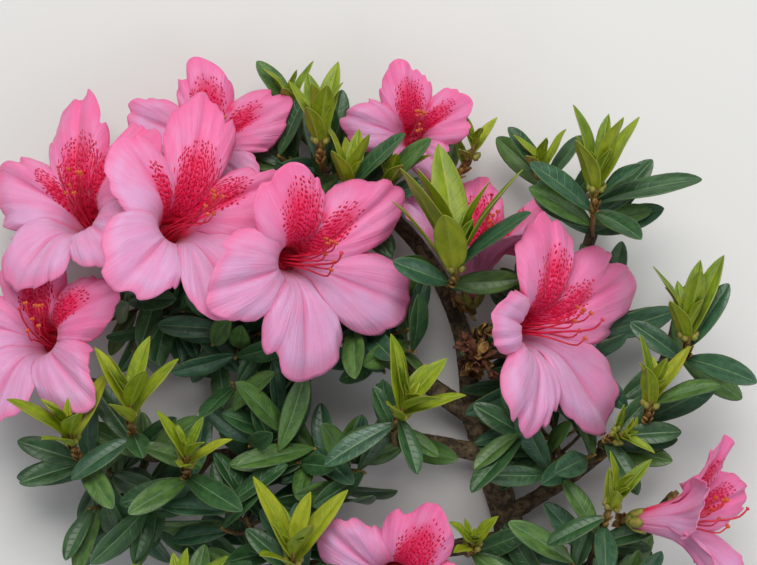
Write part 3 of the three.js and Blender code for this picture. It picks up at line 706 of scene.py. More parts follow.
def add_scales(piece, route, shares, out, rise, lean, lengths, widths, draw,
               finishes=(SCALE_FINISH,)):
    """Scales up a stem. out is how far off its middle they start, and rise and lean are how
    much they point along it and away from it."""
    for i, share in enumerate(shares):
        axis = route.tangent(share)
        side = spoke(axis, GOLDEN_TURN * i)
        add_scale(piece, route.at(share) + side * out, unit(axis * rise + side * lean), -side,
                  draw.uniform(*lengths), draw.uniform(*widths),
                  draw.choice(finishes) if len(finishes) > 1 else finishes[0])


def add_end_bud(piece, route, radius, draw):
    """A resting bud of overlapping scales on a bough's end."""
    axis = route.tangent(1)
    for i in range(END_BUD_SCALES):
        out = spoke(axis, GOLDEN_TURN * i)
        root = route.at(1) + out * radius * (0.85 - 0.045 * i) - axis * (2.2 - 0.16 * i)
        add_scale(piece, root, unit(axis + out * (0.3 - 0.03 * i)), -out,
                  draw.uniform(4, 5.5), draw.uniform(2.4, 3.2), SCALE_FINISH)


def add_limbs():
    for index, (name, (radii, _)) in enumerate(LIMBS.items()):
        draw = random.Random(400 + index)
        route = ROUTES[name]
        piece = Piece(name + "_bark")
        steps = int(route.length / BARK_STEP)
        add_tube(piece, route, bark_radius(radii, route.length, draw), steps, BARK_SIDES,
                 cap=CUT_FINISH if name == "main_limb" else 0)
        if name != "main_limb":
            add_end_bud(piece, route, radii[1], draw)
        piece.finish([BARK, CUT_WOOD, SCALE], "bark", [name])


# Blooms.

PETAL_COLUMNS = 45
PETAL_ROWS = 36
PETAL_THICKNESS = 0.32
PROFILE_STEP = 0.25

# A lobe's relief in millimetres: the crease down its middle with a belly on each side, the
# ruffles of its sides and rim, fine folds, the rolled tip, and one side over the next lobe.
CREASE_DEPTH = 1.2
CREASE_WIDTH = 0.07
BELLY_RISE = 1.1
SIDE_RUFFLE = 1.1
RIM_RUFFLE = 0.5
FINE_RUFFLE = 0.3
FOLD_RISE = 0.1
TIP_ROLL = 1.8
STACK_RISE = 0.55

# The plug of painted shade at the bottom of the tube, from below its foot up to where the
# threads hide it.
HEART_FOOT = -17.8
HEART_TOP = -12.6
FILAMENT_RING = 1.7

# Counts and sizes of the threads, and where a thread bends as shares of its length.
STAMENS = 7
FILAMENT_RADIUS = 0.42
STYLE_RADIUS = 0.5
POD_LENGTH = 1.5
POD_GAP = 0.38
THREAD_BEND = 0.45
THREAD_HOOK = 0.1
SEPALS = 5
STALK_SCALES = 9


def bloom_profile(opening):
    """Distance along a petal, with the corolla's radius, height and slope there."""
    distances = np.arange(0, 80, PROFILE_STEP)
    flare = smooth(distances, TUBE_LENGTH * 0.7, TUBE_LENGTH * 1.9)
    slope = np.radians(TUBE_SLOPE + (LOBE_SLOPE * opening - TUBE_SLOPE) * flare)
    radius = TUBE_RADIUS + np.concatenate([[0], np.cumsum(np.sin(slope) * PROFILE_STEP)[:-1]])
    height = -TUBE_LENGTH + np.concatenate([[0], np.cumsum(np.cos(slope) * PROFILE_STEP)[:-1]])
    return distances, radius, height, slope


class Lobe:
    """One petal lobe: where it stands round the axis, and its own creases and ruffles."""

    def __init__(self, bloom, index, draw):
        lobes = bloom["lobes"]
        self.bearing, length = lobes[index]
        self.length = LOBE_LENGTH * length
        self.gap_before = (lobes[index - 1][0] - self.bearing) % 360
        self.gap_after = (self.bearing - lobes[(index + 1) % len(lobes)][0]) % 360
        self.index = index
        self.profile = bloom["profile"]
        self.phases = [draw.uniform(0, 2 * math.pi) for _ in range(6)]
        self.curl = draw.uniform(0.6, 2.6)
        self.twist = draw.uniform(-1, 1)
        self.round = draw.uniform(1.5, 2.2)
        self.apex = (draw.uniform(-0.25, 0.25), draw.uniform(0.03, 0.12))
        self.dent = (draw.uniform(-0.35, 0.35), draw.uniform(0.0, 0.09))
        self.steps = [(draw.choice([-1, 1]) * draw.uniform(0.22, 0.9), draw.choice([-1, 1]),
                       draw.uniform(0.03, 0.1), draw.uniform(0.12, 0.34)) for _ in range(6)]

    def bearing_at(self, across, along):
        """Degrees round the axis. Past the sinus a lobe widens under and over the next."""
        wide = 1 + 0.2 * smooth(along, 0.05, 0.5) * (1 - 0.35 * smooth(along, 0.6, 1.0))
        gap = np.where(across < 0, self.gap_before, self.gap_after)
        return self.bearing - gap * across * wide / 2

    def reach(self, across):
        """The lobe's length at a place across it: rounded, with a blunt apex, a dent near it,
        and small sharp steps in the rim that run out along it."""
        side = np.abs(across) / (2 * LOBE_OVERLAP)
        shape = (1 - side ** self.round) ** 0.6 * (1 - 0.22 * np.abs(across) ** 7)
        place, height = self.apex
        shape = shape * (1 + height * np.exp(-((across - place) / 0.25) ** 2))
        place, depth = self.dent
        shape = shape * (1 - depth * np.exp(-((across - place) / 0.06) ** 2))
        for place, way, depth, width in self.steps:
            past = (across - place) * way
            step = depth * smooth(past, -0.03, 0.04) * np.exp(-np.maximum(past, 0) / width)
            shape = shape * (1 - step)
        return self.length * shape

    def surface(self, across, share, lift=0.0):
        """Points of the petal. share is 0 at the bottom of the tube, 1 at the rim."""
        distance_to_rim = LOBE_START + self.reach(across)
        distance = share * distance_to_rim
        along = np.clip((distance - LOBE_START) / (distance_to_rim - LOBE_START), 0, 1)
        bearing = np.radians(self.bearing_at(across, along))
        radius, height, slope = (np.interp(distance, self.profile[0], values)
                                 for values in self.profile[1:])
        side = across / (2 * LOBE_OVERLAP)
        away = np.abs(across)
        foot = smooth(along, 0.0, 0.3)
        rise = lift + RIM_WAVE * along ** 2 * np.sin(5 * side + 1.7 * self.index)
        rise -= LOBE_DROOP * side ** 2 * along
        rise -= CREASE_DEPTH * np.exp(-(across / CREASE_WIDTH) ** 2) * foot
        rise += BELLY_RISE * np.sin(math.pi * away) * smooth(along, 0.05, 0.6)
        rise += along ** 2.2 * (
            SIDE_RUFFLE * away * np.sin(8.5 * across + self.phases[2])
            + RIM_RUFFLE * np.sin(14 * across + 3 * along + self.phases[3])
            + FINE_RUFFLE * np.sin(25 * across + self.phases[4]))
        rise += FOLD_RISE * foot * np.sin(21 * across + 2.2 * along + self.phases[5])
        rise -= TIP_ROLL * self.curl * smooth(along, 0.72, 1.12)
        rise += STACK_RISE * across * smooth(along, 0.0, 0.25)
        rise += self.twist * across * along ** 2
        radius = radius - np.cos(slope) * rise
        height = height + np.sin(slope) * rise
        points = np.stack([radius * np.cos(bearing), radius * np.sin(bearing), height], axis=-1)
        return points, distance, along, bearing


def bloom_details(name):
    """A bloom's measures by name, with its axis, its profile and its fans of spots."""
    throat, turn, tip, opening, size, limb, along, lobes = BLOOMS[name]
    axis = unit(np.array([math.tan(math.radians(turn)), math.tan(math.radians(tip)), 1.0]))
    rotation = np.array(Vector(UP).rotation_difference(Vector(axis)).to_matrix())
    top, beside = lobes[0][0], lobes[1][0]
    fans = [*FANS, THIRD_FAN] if name in THREE_FANS else FANS
    return {"throat": np.array(throat, dtype=float), "axis": axis, "rotation": rotation,
            "size": size, "limb": limb, "along": along, "lobes": lobes, "spotted": top,
            "profile": bloom_profile(opening), "sinus": top + (beside - top) * PATCH_PLACE,
            "fans": [(top + (beside - top) * share, width, reach)
                     for share, width, reach in fans]}


def placed_bloom(bloom, points):
    """Points in the bloom's own frame, with its throat at the origin, put in place."""
    return np.asarray(points) @ bloom["rotation"].T * bloom["size"] + bloom["throat"]


def turn_between(bearing, centre):
    return np.degrees(np.angle(np.exp(1j * (bearing - math.radians(centre)))))


# The blotch has a fan of spots over the whole foot of the top lobe, and one over the near
# half of the lobe beside it: centre as a share of the way between them, half width, reach.
# Two of the blooms have a third fan on the lobe at the top lobe's other side. A small patch
# lies between the first two lobes.
FANS = [(0.08, 36, 37.5), (0.86, 22, 36.5)]
THIRD_FAN = (-0.86, 17, 30)
THREE_FANS = ("bloom_1", "bloom_2")
FAN_LOBES = (0, 1, 4)
FAN_SHOULDER = 0.7
FAN_START = 7.0
PATCH_PLACE = 0.55
PATCH_DISTANCE = 31

# Spots stand in rows along the veins. The rows fork on the way out, so every fourth row
# starts in the throat, every second one further out, and the rest late.
ROW_STEP = 0.06
ROW_STARTS = [7.0, 21.0, 13.0, 22.0]

# A spot is a low five-sided point on the petal, with its foot below it.
SPOT_RING = np.array([(math.cos(a), math.sin(a))
                      for a in np.linspace(0, 2 * math.pi, 5, endpoint=False)])
SPOT_FACES = ([(5, i, (i + 1) % 5) for i in range(5)]
              + [(6, (i + 1) % 5, i) for i in range(5)])
SPOT_LIFTS = np.array([0.015] * 5 + [0.04, -0.2])


def fan_end(turn, width, reach):
    return FAN_START + reach * (1 - FAN_SHOULDER * np.minimum(np.abs(turn / width), 1) ** 2)


def blotch_at(bloom, bearing, distance):
    """How strongly the crimson flush colours a place, from 0 to 1."""
    value = np.zeros_like(distance)
    for centre, width, reach in bloom["fans"]:
        turn = turn_between(bearing, centre)
        side = 1 - smooth(np.abs(turn), width * 0.72, width * 1.2)
        end = fan_end(turn, width, reach)
        value = np.maximum(value, side * (1 - smooth(distance, end - 10, end + 2)))
    sinus = turn_between(bearing, bloom["sinus"])
    patch = np.exp(-(sinus / 5) ** 2 - ((distance - PATCH_DISTANCE) / 2.6) ** 2)
    return np.maximum(value, patch)


def add_spot(piece, bloom, lobe, across, distance, length, half):
    """One raised dash on a lobe, along its vein. length is half its own."""
    rim = LOBE_START + lobe.reach(np.array(across))
    radius = np.interp(distance, lobe.profile[0], lobe.profile[1])
    gap = lobe.gap_before if across < 0 else lobe.gap_after
    narrow = half / (radius * math.radians(gap) / 2)
    u = np.append(across + SPOT_RING[:, 1] * narrow, [across, across])
    s = np.append((distance + SPOT_RING[:, 0] * length) / rim, [distance / rim] * 2)
    points = lobe.surface(u, np.clip(s, 0, 1), SPOT_LIFTS)[0]
    piece.add(placed_bloom(bloom, points), SPOT_FACES, [0] * len(SPOT_FACES), (0, 0, 0))


def add_spots(piece, bloom, lobes, draw):
    """Rows of dashes: long ones that merge into lines at the throat, then shorter and
    further apart towards the fans' ends."""
    for lobe in lobes:
        for row, across in enumerate(np.arange(-0.9, 0.91, ROW_STEP)):
            bearing = math.radians(lobe.bearing_at(across, 0.3))
            for centre, width, reach in bloom["fans"]:
                turn = turn_between(bearing, centre)
                if abs(turn) > width:
                    continue
                end = fan_end(turn, width, reach)
                distance = ROW_STARTS[row % 4] + draw.uniform(0, 1.5)
                while distance < end:
                    progress = (distance - FAN_START) / (end - FAN_START)
                    near = 1 - smooth(distance, 11, 22)
                    length = draw.uniform(0.55, 0.95) * (1.15 - 0.35 * progress + 1.6 * near)
                    half = draw.uniform(0.28, 0.44) * (1.2 - 0.35 * progress - 0.3 * near)
                    shift = across + draw.uniform(-0.018, 0.018) * (1 - near)
                    if draw.random() < 1.0 - 0.35 * progress ** 3:
                        add_spot(piece, bloom, lobe, shift, distance, length, half)
                    distance += 2 * length + draw.uniform(0.1, 1.0) * (1 - 0.8 * near)


def add_thread(piece, bloom, bearing, spread, length, radius, seat):
    """A stamen's or the style's thread. It rises in the tube from its seat on a ring, leans
    out to its bearing and hooks up towards the spotted lobe. Gives its tip and direction."""
    lean = heading(bearing, 90 - spread)
    foot = np.array([0, 0, -TUBE_LENGTH + PLUG_DEPTH * 0.4]) + heading(seat, 0) * FILAMENT_RING
    bend = foot + UP * length * THREAD_BEND
    end = bend + lean * length * 0.5
    hook = end + unit(lean * 0.5 + heading(bloom["spotted"], 30)) * length * THREAD_HOOK
    route = spline_route([foot, foot + UP * length * 0.3, bend + lean * length * 0.18, end, hook],
                         12)
    placed = Route(placed_bloom(bloom, route.points))
    add_tube(piece, placed, lambda share, angle: radius * (1 - 0.25 * share + (1 - share) ** 7),
             22, 6)
    return placed.at(1.0), placed.tangent(1.0)


def add_stamens(name, bloom, draw):
    """Seven stamens, each with two pods at its tip, and the style with its round stigma."""
    piece = Piece(name + "_stamens")
    spotted = bloom["spotted"]
    for i in range(STAMENS):
        bearing = spotted - 120 + 15 * i + draw.uniform(-6, 6)
        length = STAMEN_LENGTH * (1.02 - 0.07 * (i % 3) - draw.uniform(0, 0.05))
        top, axis = add_thread(piece, bloom, bearing, 22 + 8 * (i % 2) + draw.uniform(-3, 3),
                               length, FILAMENT_RADIUS, spotted + 150 - 45 * i)
        side = unit(np.cross(axis, UP + 0.1))
        for start in (top - side * POD_GAP - axis * 0.3, top + side * POD_GAP - axis * 0.3):
            add_spindle(piece, start, start + axis * POD_LENGTH, 0.08, 0.5, 0.6, 9, 8,
                        ANTHER_FINISH)
    top, axis = add_thread(piece, bloom, spotted - 62, 15, STYLE_LENGTH * 0.94, STYLE_RADIUS,
                           spotted - 165)
    add_spindle(piece, top - axis * 0.3, top + axis * 0.7, 0.1, 0.75, 0.5, 9, 10, 0)
    piece.finish([FILAMENT, ANTHER], "petal")


def add_petals(name, bloom, number, lobes):
    """The five lobes with their share of the tube, and a dark plug of painted shade at its
    bottom.
    """
    piece = Piece(name + "_petals")
    rows = np.linspace(0, 1, PETAL_ROWS) ** 0.85
    share, across = np.meshgrid(rows, np.linspace(-1, 1, PETAL_COLUMNS), indexing="ij")
    rim = np.maximum(np.abs(across), share)
    thickness = PETAL_THICKNESS * (1.15 - 0.6 * smooth(rim, 0.8, 1.0)) * bloom["size"]
    middle = (bloom["fans"][0][0] + bloom["fans"][1][0]) / 2
    for lobe in lobes:
        points, distance, along, bearing = lobe.surface(across, share)
        # The tone is partly painted light: the top lobes by the spots are made brighter as if lit
        # from above.
        tone_and_light = 1 - smooth(np.abs(turn_between(bearing, middle)), 45, 118)
        blotch = blotch_at(bloom, bearing, distance)
        place = np.stack([across, along, distance / 50], axis=-1)
        mark = np.stack([0.12 + 0.75 * tone_and_light, blotch, np.full_like(tone_and_light, number * 7.3)], axis=-1)
        add_sheet(piece, placed_bloom(bloom, points), thickness, 0, place, mark)
    # A plug whose dark crimson is painted shade of the hollow deep in the tube.
    heart = Route(placed_bloom(bloom, [UP * HEART_FOOT, UP * HEART_TOP]))
    add_tube(piece, heart, lambda share, angle: bloom["size"] * (2.7 + 1.4 * share), 4, 20,
             PLUG_SHADE_FINISH)
    piece.finish([PETAL, PLUG_SHADE], "petal", [name])


def add_flower_stalk(name, bloom, draw):
    """The stalk from the bough, five sepals on their cup, and bud scales low on it."""
    piece = Piece(name + "_stalk")
    out, size = bloom["axis"], bloom["size"]
    foot = ROUTES[bloom["limb"]].at(bloom["along"])
    top = placed_bloom(bloom, np.array([0, 0, -TUBE_LENGTH + PLUG_DEPTH * 0.6]))
    route = stalk_route(foot, top, out, STALK_BEND * size)
    swell = draw.uniform(0, 6)

    def radius(share, angle):
        thick = STALK_RADIUS * (0.85 + 0.35 * smooth(share, 0.82, 0.97))
        return thick * (1 + 0.06 * np.sin(3 * angle + 9 * share + swell))

    add_tube(piece, route, radius, 40, 10)
    base = top - out * 1.6
    for i in range(SEPALS):
        side = spoke(out, 360 * i / SEPALS + draw.uniform(-8, 8), (0.3, 0.1, 0))
        add_scale(piece, base + side * 3.9 * size, unit(out * 0.93 + side * 0.36), -side,
                  6.0 * size, 4.4 * size, CALYX_FINISH)
    cup = Route([base - out * 2.2, base - out, base + out * 0.6])
    add_tube(piece, cup, lambda share, angle: size * (1.2 + 2.7 * share ** 0.6), 8, 16,
             CALYX_FINISH)
    add_scales(piece, route, [0.36 + 0.045 * i for i in range(STALK_SCALES)],
               STALK_RADIUS * 0.6, 0.8, 0.5, (5, 8), (2.6, 4), draw)
    piece.finish([STEM, CALYX, SCALE], "bark")


def add_bloom(name):
    number = int(name.split("_")[1])
    draw = random.Random(900 + number)
    bloom = bloom_details(name)
    lobes = [Lobe(bloom, index, draw) for index in range(len(bloom["lobes"]))]
    add_petals(name, bloom, number, lobes)
    spots = Piece(name + "_spots")
    add_spots(spots, bloom, [lobes[k] for k in FAN_LOBES[:len(bloom["fans"])]], draw)
    spots.finish([SPOT], "petal")
    add_stamens(name, bloom, draw)
    add_flower_stalk(name, bloom, draw)


# Leaves.

LEAF_COLUMNS = np.array([-1, -0.9, -0.6, -0.3, -0.055, 0.055, 0.3, 0.6, 0.9, 1])
LEAF_ROWS = 15
LEAF_THICKNESS = 0.3
LEAF_STALK_SHARE = 0.08
LEAF_STALK_HALF_WIDTH = 0.6
TIP_HALF_WIDTH = 0.22

# How a blade widens from its stalk and narrows to its tip, as powers of the length. Old
# leaves are blunt, young ones pointed. Of the old ones the longer are the slimmer.
LEAF_WIDENING = 0.82
OLD_NARROWING = 0.6
YOUNG_NARROWING = 0.82
YOUNG_WIDTHS = (0.74, 0.9)
HEART_WIDTH = 0.8
FULL_LENGTH = 23
SLIMMING = 0.5

# A blade's relief: how far it lies above its stalk's line, its raised halves, and its sunk
# rib, whose width is a share of half the blade.
BLADE_LIFT = 0.25
HALF_RISE = 0.35
RIB_DEPTH = 0.3
RIB_WIDTH = 0.14

# How far a further leaf keeps off the floor, how far it may pass its own mass's box, and how
# close to a solid's surface a leaf of that solid has to be found, in metres.
FLOOR_GAP = 0.002
REACH_MARGIN = 0.003
FOUND_WITHIN = 0.0005


def leaf_outline(t, narrowing):
    """The half width at shares of the length, as a share of the widest."""
    t = np.clip(t, 0.001, 0.999)
    widest = LEAF_WIDENING / (LEAF_WIDENING + narrowing)
    full = widest ** LEAF_WIDENING * (1 - widest) ** narrowing
    return t ** LEAF_WIDENING * (1 - t) ** narrowing / full


def leaf_points(leaf, direction, stations, across, height):
    """Points of an arched leaf at shares of its length, this far across and above it."""
    length = leaf["length"]
    return blade_grid(leaf["root"], direction, leaf["axis"], stations * length, across,
                      height - LEAF_ARCH * length * stations ** 2)


def add_leaf(piece, leaf, direction, kind, draw, width=None):
    """A leaf with a sunk midrib, raised halves, a soft rim and a short pointed tip. kind is
    its first blade finish, and the finishes of its midrib and margin."""
    blade, midrib, margin = kind
    blade += draw.choice([0, 0, 1, 2])
    length = leaf["length"]
    t = (1 - np.cos(np.linspace(0, math.pi, LEAF_ROWS))) / 2
    stations, columns = np.meshgrid(t, LEAF_COLUMNS, indexing="ij")
    if kind is OLD_SET:
        outline = leaf_outline(stations, OLD_NARROWING)
        width = min((FULL_LENGTH / length) ** SLIMMING, 1)
    else:
        outline = leaf_outline(stations, YOUNG_NARROWING)
        width = width or draw.uniform(*YOUNG_WIDTHS)
    half = np.maximum(LEAF_HALF_WIDTH * length * outline * width, TIP_HALF_WIDTH)
    half = np.where(stations < LEAF_STALK_SHARE, np.maximum(half, LEAF_STALK_HALF_WIDTH), half)
    wave = draw.uniform(0.2, 0.5)
    phase = draw.uniform(0, 2 * math.pi)
    fold = draw.uniform(0.7, 1.25)
    bend = draw.uniform(-0.05, 0.05) * length * stations ** 2
    away = np.abs(columns)
    height = BLADE_LIFT + outline * (
        LEAF_KEEL * fold * away ** 0.9 + HALF_RISE * np.sin(math.pi * away) ** 1.2
        - RIB_DEPTH * np.exp(-(columns / RIB_WIDTH) ** 2)
        + wave * columns ** 2 * np.sin(9 * stations + phase))
    grid = leaf_points(leaf, direction, stations, columns * half + bend, height)
    half_finishes = [blade] * (len(LEAF_COLUMNS) // 2 - 2)
    place = np.stack([columns, stations, np.full_like(columns, length)], axis=-1)
    add_sheet(piece, grid, LEAF_THICKNESS,
              [margin, *half_finishes, midrib, *half_finishes, margin], place,
              (draw.uniform(0, 50), 0, 0))


def solid_tree(name):
    """The search tree of a CAD solid, and the corners of its box."""
    mesh = frame["nodes"][name].data
    tree = BVHTree.FromPolygons([v.co.copy() for v in mesh.vertices],
                                [tuple(p.vertices) for p in mesh.polygons])
    return tree, *np.array(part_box(name))


# What already stands in place. A further leaf grows only where it is clear of it.
SOLIDS = {name: solid_tree(name) for name in frame["nodes"]}
filled = list(SOLIDS.values())


def leaf_tree(leaf, direction):
    """The search tree of a coarse leaf, and the corners of its box."""
    stations = np.repeat([0.1, 0.36, 0.72, 1.0], 2)
    widths = np.repeat([0.4, 0.92, 0.78, 0.08], 2) * LEAF_HALF_WIDTH * leaf["length"]
    across = widths * np.tile([-1, 1], 4)
    placed = world(leaf_points(leaf, direction, stations, across, np.full(8, 0.6)))
    faces = [(2 * i, 2 * i + 1, 2 * i + 3, 2 * i + 2) for i in range(3)]
    tree = BVHTree.FromPolygons([Vector(p) for p in placed], faces)
    return tree, placed.min(axis=0), placed.max(axis=0)


def is_clear(tree, low, high):
    return not any(np.all(low <= other_high) and np.all(high >= other_low)
                   and tree.overlap(other) for other, other_low, other_high in filled)


def add_own_leaf(piece, node, leaf, kind, draw):
    """Adds a leaf in the direction in which the CAD solid has it, if the solid has it."""
    best, nearest = None, FOUND_WITHIN
    for turn in TRIAL_TURNS:
        direction = turned(leaf["direction"], leaf["axis"], turn)
        marks = leaf_points(leaf, direction, np.array([0.72, 1.0]), np.zeros(2), np.zeros(2))
        off = max(SOLIDS[node][0].find_nearest(Vector(p))[3] for p in world(marks))
        if off < nearest:
            best, nearest = direction, off
    if best is not None:
        add_leaf(piece, leaf, best, kind, draw)


def add_further_leaf(piece, node, leaf, draw):
    """Adds an old leaf at the first trial turn where it is clear of the rest and keeps the
    reach. Says whether there is one."""
    _, solid_low, solid_high = SOLIDS[node]
    for turn in TRIAL_TURNS:
        direction = turned(leaf["direction"], leaf["axis"], turn)
        tree, low, high = leaf_tree(leaf, direction)
        inside = (np.all(low > solid_low - REACH_MARGIN) and low[2] > FLOOR_GAP
                  and np.all(high < solid_high + REACH_MARGIN))
        if inside and is_clear(tree, low, high):
            filled.append((tree, low, high))
            add_leaf(piece, leaf, direction, OLD_SET, draw)
            return True
    return False


def leaf_at(route, share, direction, length, axis=None):
    return {"root": route.at(share), "direction": direction, "length": length,
            "axis": route.tangent(share) if axis is None else axis}


def young_leaves(shoot, route, numbers):
    """The rosette's leaves by the source's rule, from its outside to its middle."""
    _, _, _, _, count, size, opening, _ = shoot
    axis = route.tangent(1)
    for i in range(count):
        share = i / (count - 1)
        lean = opening * (1 - 0.62 * share) * (0.85 + 0.3 * next(numbers))
        length = size * (0.78 + 0.5 * share - 0.62 * share ** 3) * (0.9 + 0.2 * next(numbers))
        direction = leaning(axis, lean, GOLDEN_TURN * i + 40 * next(numbers))
        yield leaf_at(route, ROSETTE_FOOT + 0.2 * share, direction, length, axis)


HAIRS_PER_MM = 2.2
HAIR_RADIUS = 0.07
HAIR_FACES = [(0, 1, 3), (1, 2, 3), (2, 0, 3), (0, 2, 1)]


def add_stem(piece, route, radius, draw):
    """A stem with small leaf scars, and short slanting hairs as slim spikes."""
    swell = draw.uniform(0, 6)

    def thickness(share, angle):
        rings = 0.09 * np.sin(share * route.length * 1.4 + swell) ** 8
        return radius * (1 - 0.3 * share) * (1 + rings + 0.05 * np.sin(3 * angle + 11 * share))

    add_tube(piece, route, thickness, max(8, int(route.length / 1.2)), 9)
    for _ in range(int(route.length * HAIRS_PER_MM)):
        share = draw.uniform(0.05, 0.98)
        axis = route.tangent(share)
        side = spoke(axis, draw.uniform(0, 360), (0.11, 0.07, 0))
        root = route.at(share) + side * radius * (0.9 - 0.3 * share)
        tip = root + unit(side + axis * draw.uniform(0.3, 0.9)) * draw.uniform(0.8, 1.7)
        across = unit(np.cross(side, axis)) * HAIR_RADIUS
        base = [root + turned(across, side, 120 * k) for k in range(3)]
        piece.add([*base, tip], HAIR_FACES, [0] * len(HAIR_FACES), (0, share, 0))


EXTRA_OLD = 5
HEART_LEAVES = 5
HEART_BUDS = 6
STEM_SCALES = 8


def add_shoot(index):
    """A shoot's leaves and stem. After the solid's own leaves come small ones at the
    rosette's heart, old ones lower on the stem, bud scales and small buds."""
    shoot = SHOOTS[index]
    name = f"shoot_{index + 1}"
    limb, along, rosette, axis, _, size, _, old = shoot
    draw = random.Random(700 + index)
    numbers = seeded(7 + index)
    foot = ROUTES[limb].at(along)
    route = stalk_route(foot, np.array(rosette, dtype=float), heading(*axis))
    leaves = Piece(name + "_leaves")
    for place, bearing, lift, length in old:
        add_own_leaf(leaves, name, leaf_at(route, place, heading(bearing, lift), length),
                     OLD_SET, draw)
    for leaf in young_leaves(shoot, route, numbers):
        add_own_leaf(leaves, name, leaf, YOUNG_SET, draw)
    axis = route.tangent(1)
    for i in range(HEART_LEAVES):
        direction = leaning(axis, 26 - 4 * i, GOLDEN_TURN * i + 70)
        leaf = leaf_at(route, 0.97, direction, size * (0.5 - 0.06 * i), axis)
        add_leaf(leaves, leaf, direction, YOUNG_SET, draw, HEART_WIDTH)
    for i in range(EXTRA_OLD):
        place = 0.3 + 0.5 * i / EXTRA_OLD + draw.uniform(-0.03, 0.03)
        direction = leaning(route.tangent(place), draw.uniform(48, 72),
                            GOLDEN_TURN * i + draw.uniform(-20, 20), (0.2, 0.1, 0))
        add_further_leaf(leaves, name, leaf_at(route, place, direction, draw.uniform(23, 34)),
                         draw)
    leaves.finish(LEAF_MATERIALS, "young_leaf", [name])

    stem = Piece(name + "_stem")
    add_stem(stem, route, SHOOT_RADIUS, draw)
    add_scales(stem, route, [0.66 + 0.018 * i for i in range(STEM_SCALES)],
               SHOOT_RADIUS * 0.5, 1, 0.45, (3.5, 6), (1.8, 2.8), draw)
    for i in range(HEART_BUDS):
        out = spoke(axis, GOLDEN_TURN * i + 180, (0, 0, 0))
        root = route.at(0.88) + out * 1.7
        tip = root + unit(axis + out * 0.7) * draw.uniform(2.6, 3.8)
        add_spindle(stem, root, tip, 0.2, 1.1, 0.7, 5, 6, CALYX_FINISH)
    stem.finish([STEM, CALYX, SCALE], "bark")


FINE_TWIGS = 10
FINE_LEAVES = 6


def add_inner_foliage(index):
    """Older foliage: the solid's twigs and leaves, and finer twigs within its reach."""
    limb, along, crown_place = INNER_FOLIAGE[index]
    name = f"inner_foliage_{index + 1}"
    draw = random.Random(1100 + index)
    numbers = seeded(101 + index)
    foot = ROUTES[limb].at(along)
    crown = np.array(crown_place, dtype=float)
    axis = unit(unit(crown - foot) + np.array([0, 0.3, 0.4]))
    route = stalk_route(foot, crown, axis)
    leaves = Piece(name + "_leaves")
    twigs = Piece(name + "_twigs")
    add_stem(twigs, route, SHOOT_RADIUS, draw)
    for i in range(INNER_TWIGS):
        side = heading(120 * i + 80 * next(numbers), 20 + 20 * next(numbers))
        root = route.at(0.55 + 0.15 * i)
        twig = stalk_route(root, root + side * INNER_TWIG_LENGTH, unit(side + axis))
        add_stem(twigs, twig, SHOOT_RADIUS * 0.8, draw)
        twig_axis = twig.tangent(1)
        for k in range(INNER_LEAVES_PER_TWIG):
            around = GOLDEN_TURN * k + 360 * next(numbers)
            direction = leaning(twig_axis, 50 + 25 * next(numbers), around)
            length = INNER_LEAF_LENGTH * (0.8 + 0.4 * next(numbers))
            add_own_leaf(leaves, name,
                         leaf_at(twig, 0.95 - 0.25 * k, direction, length, twig_axis),
                         OLD_SET, draw)
    for i in range(FINE_TWIGS):
        side = heading(GOLDEN_TURN * i + draw.uniform(-25, 25), draw.uniform(-5, 50))
        root = route.at(0.35 + 0.62 * i / FINE_TWIGS)
        tip = root + side * draw.uniform(8, 20)
        if world(tip)[2] < 2 * FLOOR_GAP:
            continue
        twig = stalk_route(root, tip, unit(side + axis))
        twig_axis = twig.tangent(1)
        grown = 0
        for k in range(FINE_LEAVES):
            direction = leaning(twig_axis, draw.uniform(35, 75),
                                GOLDEN_TURN * k + draw.uniform(-30, 30), (0.15, 0.1, 0))
            leaf = leaf_at(twig, 1 - 0.14 * k, direction, draw.uniform(20, 33), twig_axis)
            grown += add_further_leaf(leaves, name, leaf, draw)
        if grown:
            add_stem(twigs, twig, SHOOT_RADIUS * 0.6, draw)
    leaves.finish(LEAF_MATERIALS, "old_leaf", [name])
    twigs.finish([STEM, CALYX, SCALE], "bark")


SPENT_TIP = (37, -26, 45)
SPENT_RADIUS = 1.6
SPENT_SCALES = 30
SPENT_FLOWERS = 8
SPENT_SEPALS = 5


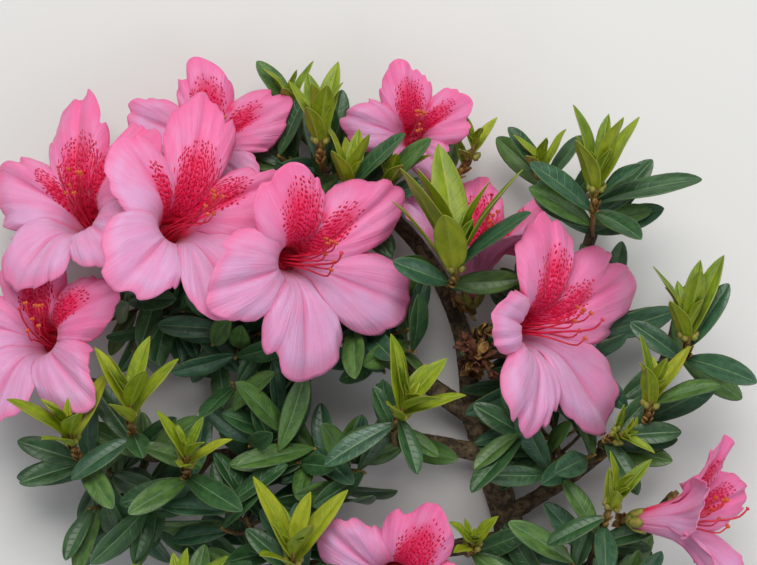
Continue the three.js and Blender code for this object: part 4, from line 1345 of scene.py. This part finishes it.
def add_spent_cluster():
    """The stub of an older shoot in the fork, with its dry bud scales and the withered
    stalks of flowers that have dropped."""
    draw = random.Random(77)
    piece = Piece("spent_cluster")
    foot = ROUTES["bough_centre"].at(0.16)
    route = stalk_route(foot, np.array(SPENT_TIP, dtype=float), heading(80, 50))
    add_stem(piece, route, SPENT_RADIUS, draw)
    add_scales(piece, route, [0.4 + 0.6 * i / SPENT_SCALES for i in range(SPENT_SCALES)], 1,
               0.6, 0.8, (4.5, 8.5), (2.2, 3.8), draw, (SCALE_FINISH, DRY_FINISH))
    for i in range(SPENT_FLOWERS):
        share = 0.72 + 0.27 * i / SPENT_FLOWERS
        axis = route.tangent(share)
        out = leaning(axis, draw.uniform(30, 75), GOLDEN_TURN * i + 220, (0.2, 0.3, 0))
        root = route.at(share)
        tip = root + out * draw.uniform(8, 13)
        stalk = bent_route(root, root + out * 5 + axis * 2, tip, 40)
        add_tube(piece, stalk, lambda share, angle: 0.55 + 0.25 * share, 12, 7, DRY_FINISH)
        end = stalk.tangent(1)
        for k in range(SPENT_SEPALS):
            side = spoke(end, 360 * k / SPENT_SEPALS + draw.uniform(-15, 15), (0.1, 0.2, 0))
            add_scale(piece, tip - end * 0.6 + side * 0.7, unit(end + side * 0.55), -side,
                      draw.uniform(2.4, 3.8), 1.7, DRY_FINISH)
    piece.finish([STEM, CALYX, SCALE, DRY], "bark")


# Camera, lights and floor.

def add_camera():
    """Straight down over the branch, from where the photographed one was seen."""
    camera = bpy.data.cameras.new("camera")
    camera.sensor_width = 36
    camera.lens = 112.3
    camera.clip_end = 10
    bpy.context.scene.camera = link("camera", camera, (ORIGIN[0], ORIGIN[1], 0.92))


def add_area_light(name, place, size, power, colour):
    """A round soft light that faces the middle of the branch."""
    light = bpy.data.lights.new(name, "AREA")
    light.shape = "DISK"
    light.size = size
    light.energy = power
    light.color = colour
    aim = Vector((0, 0, 0.03)) - Vector(place)
    link(name, light, place).rotation_euler = aim.to_track_quat("-Z", "Y").to_euler()


def add_stage():
    """A wide pale floor just under the branch, two soft lights and a dim white sky."""
    half, drop = 4.0, -0.0004
    mesh = bpy.data.meshes.new("floor")
    mesh.from_pydata([(-half, -half, drop), (half, -half, drop), (half, half, drop),
                      (-half, half, drop)], [], [(0, 1, 2, 3)])
    mesh.materials.append(Finish("floor_paper", 0.9, Base_Color=(0.72, 0.71, 0.69, 1)).material)
    link("floor", mesh)
    add_area_light("sky_light", (-0.05, 0.75, 1.15), 0.9, 15, (1, 0.98, 0.95))
    add_area_light("fill_light", (0.7, -0.6, 0.9), 1.0, 4, (0.92, 0.96, 1))
    sky = bpy.data.worlds.new("world")
    sky.use_nodes = True
    background = sky.node_tree.nodes["Background"]
    background.inputs["Color"].default_value = (0.9, 0.95, 1, 1)
    background.inputs["Strength"].default_value = 0.36
    bpy.context.scene.world = sky
    bpy.context.scene.view_settings.view_transform = "Standard"


add_camera()
add_stage()
add_limbs()
for bloom_name in BLOOMS:
    add_bloom(bloom_name)
for shoot_index in range(len(SHOOTS)):
    add_shoot(shoot_index)
for mass_index in range(len(INNER_FOLIAGE)):
    add_inner_foliage(mass_index)
add_spent_cluster()
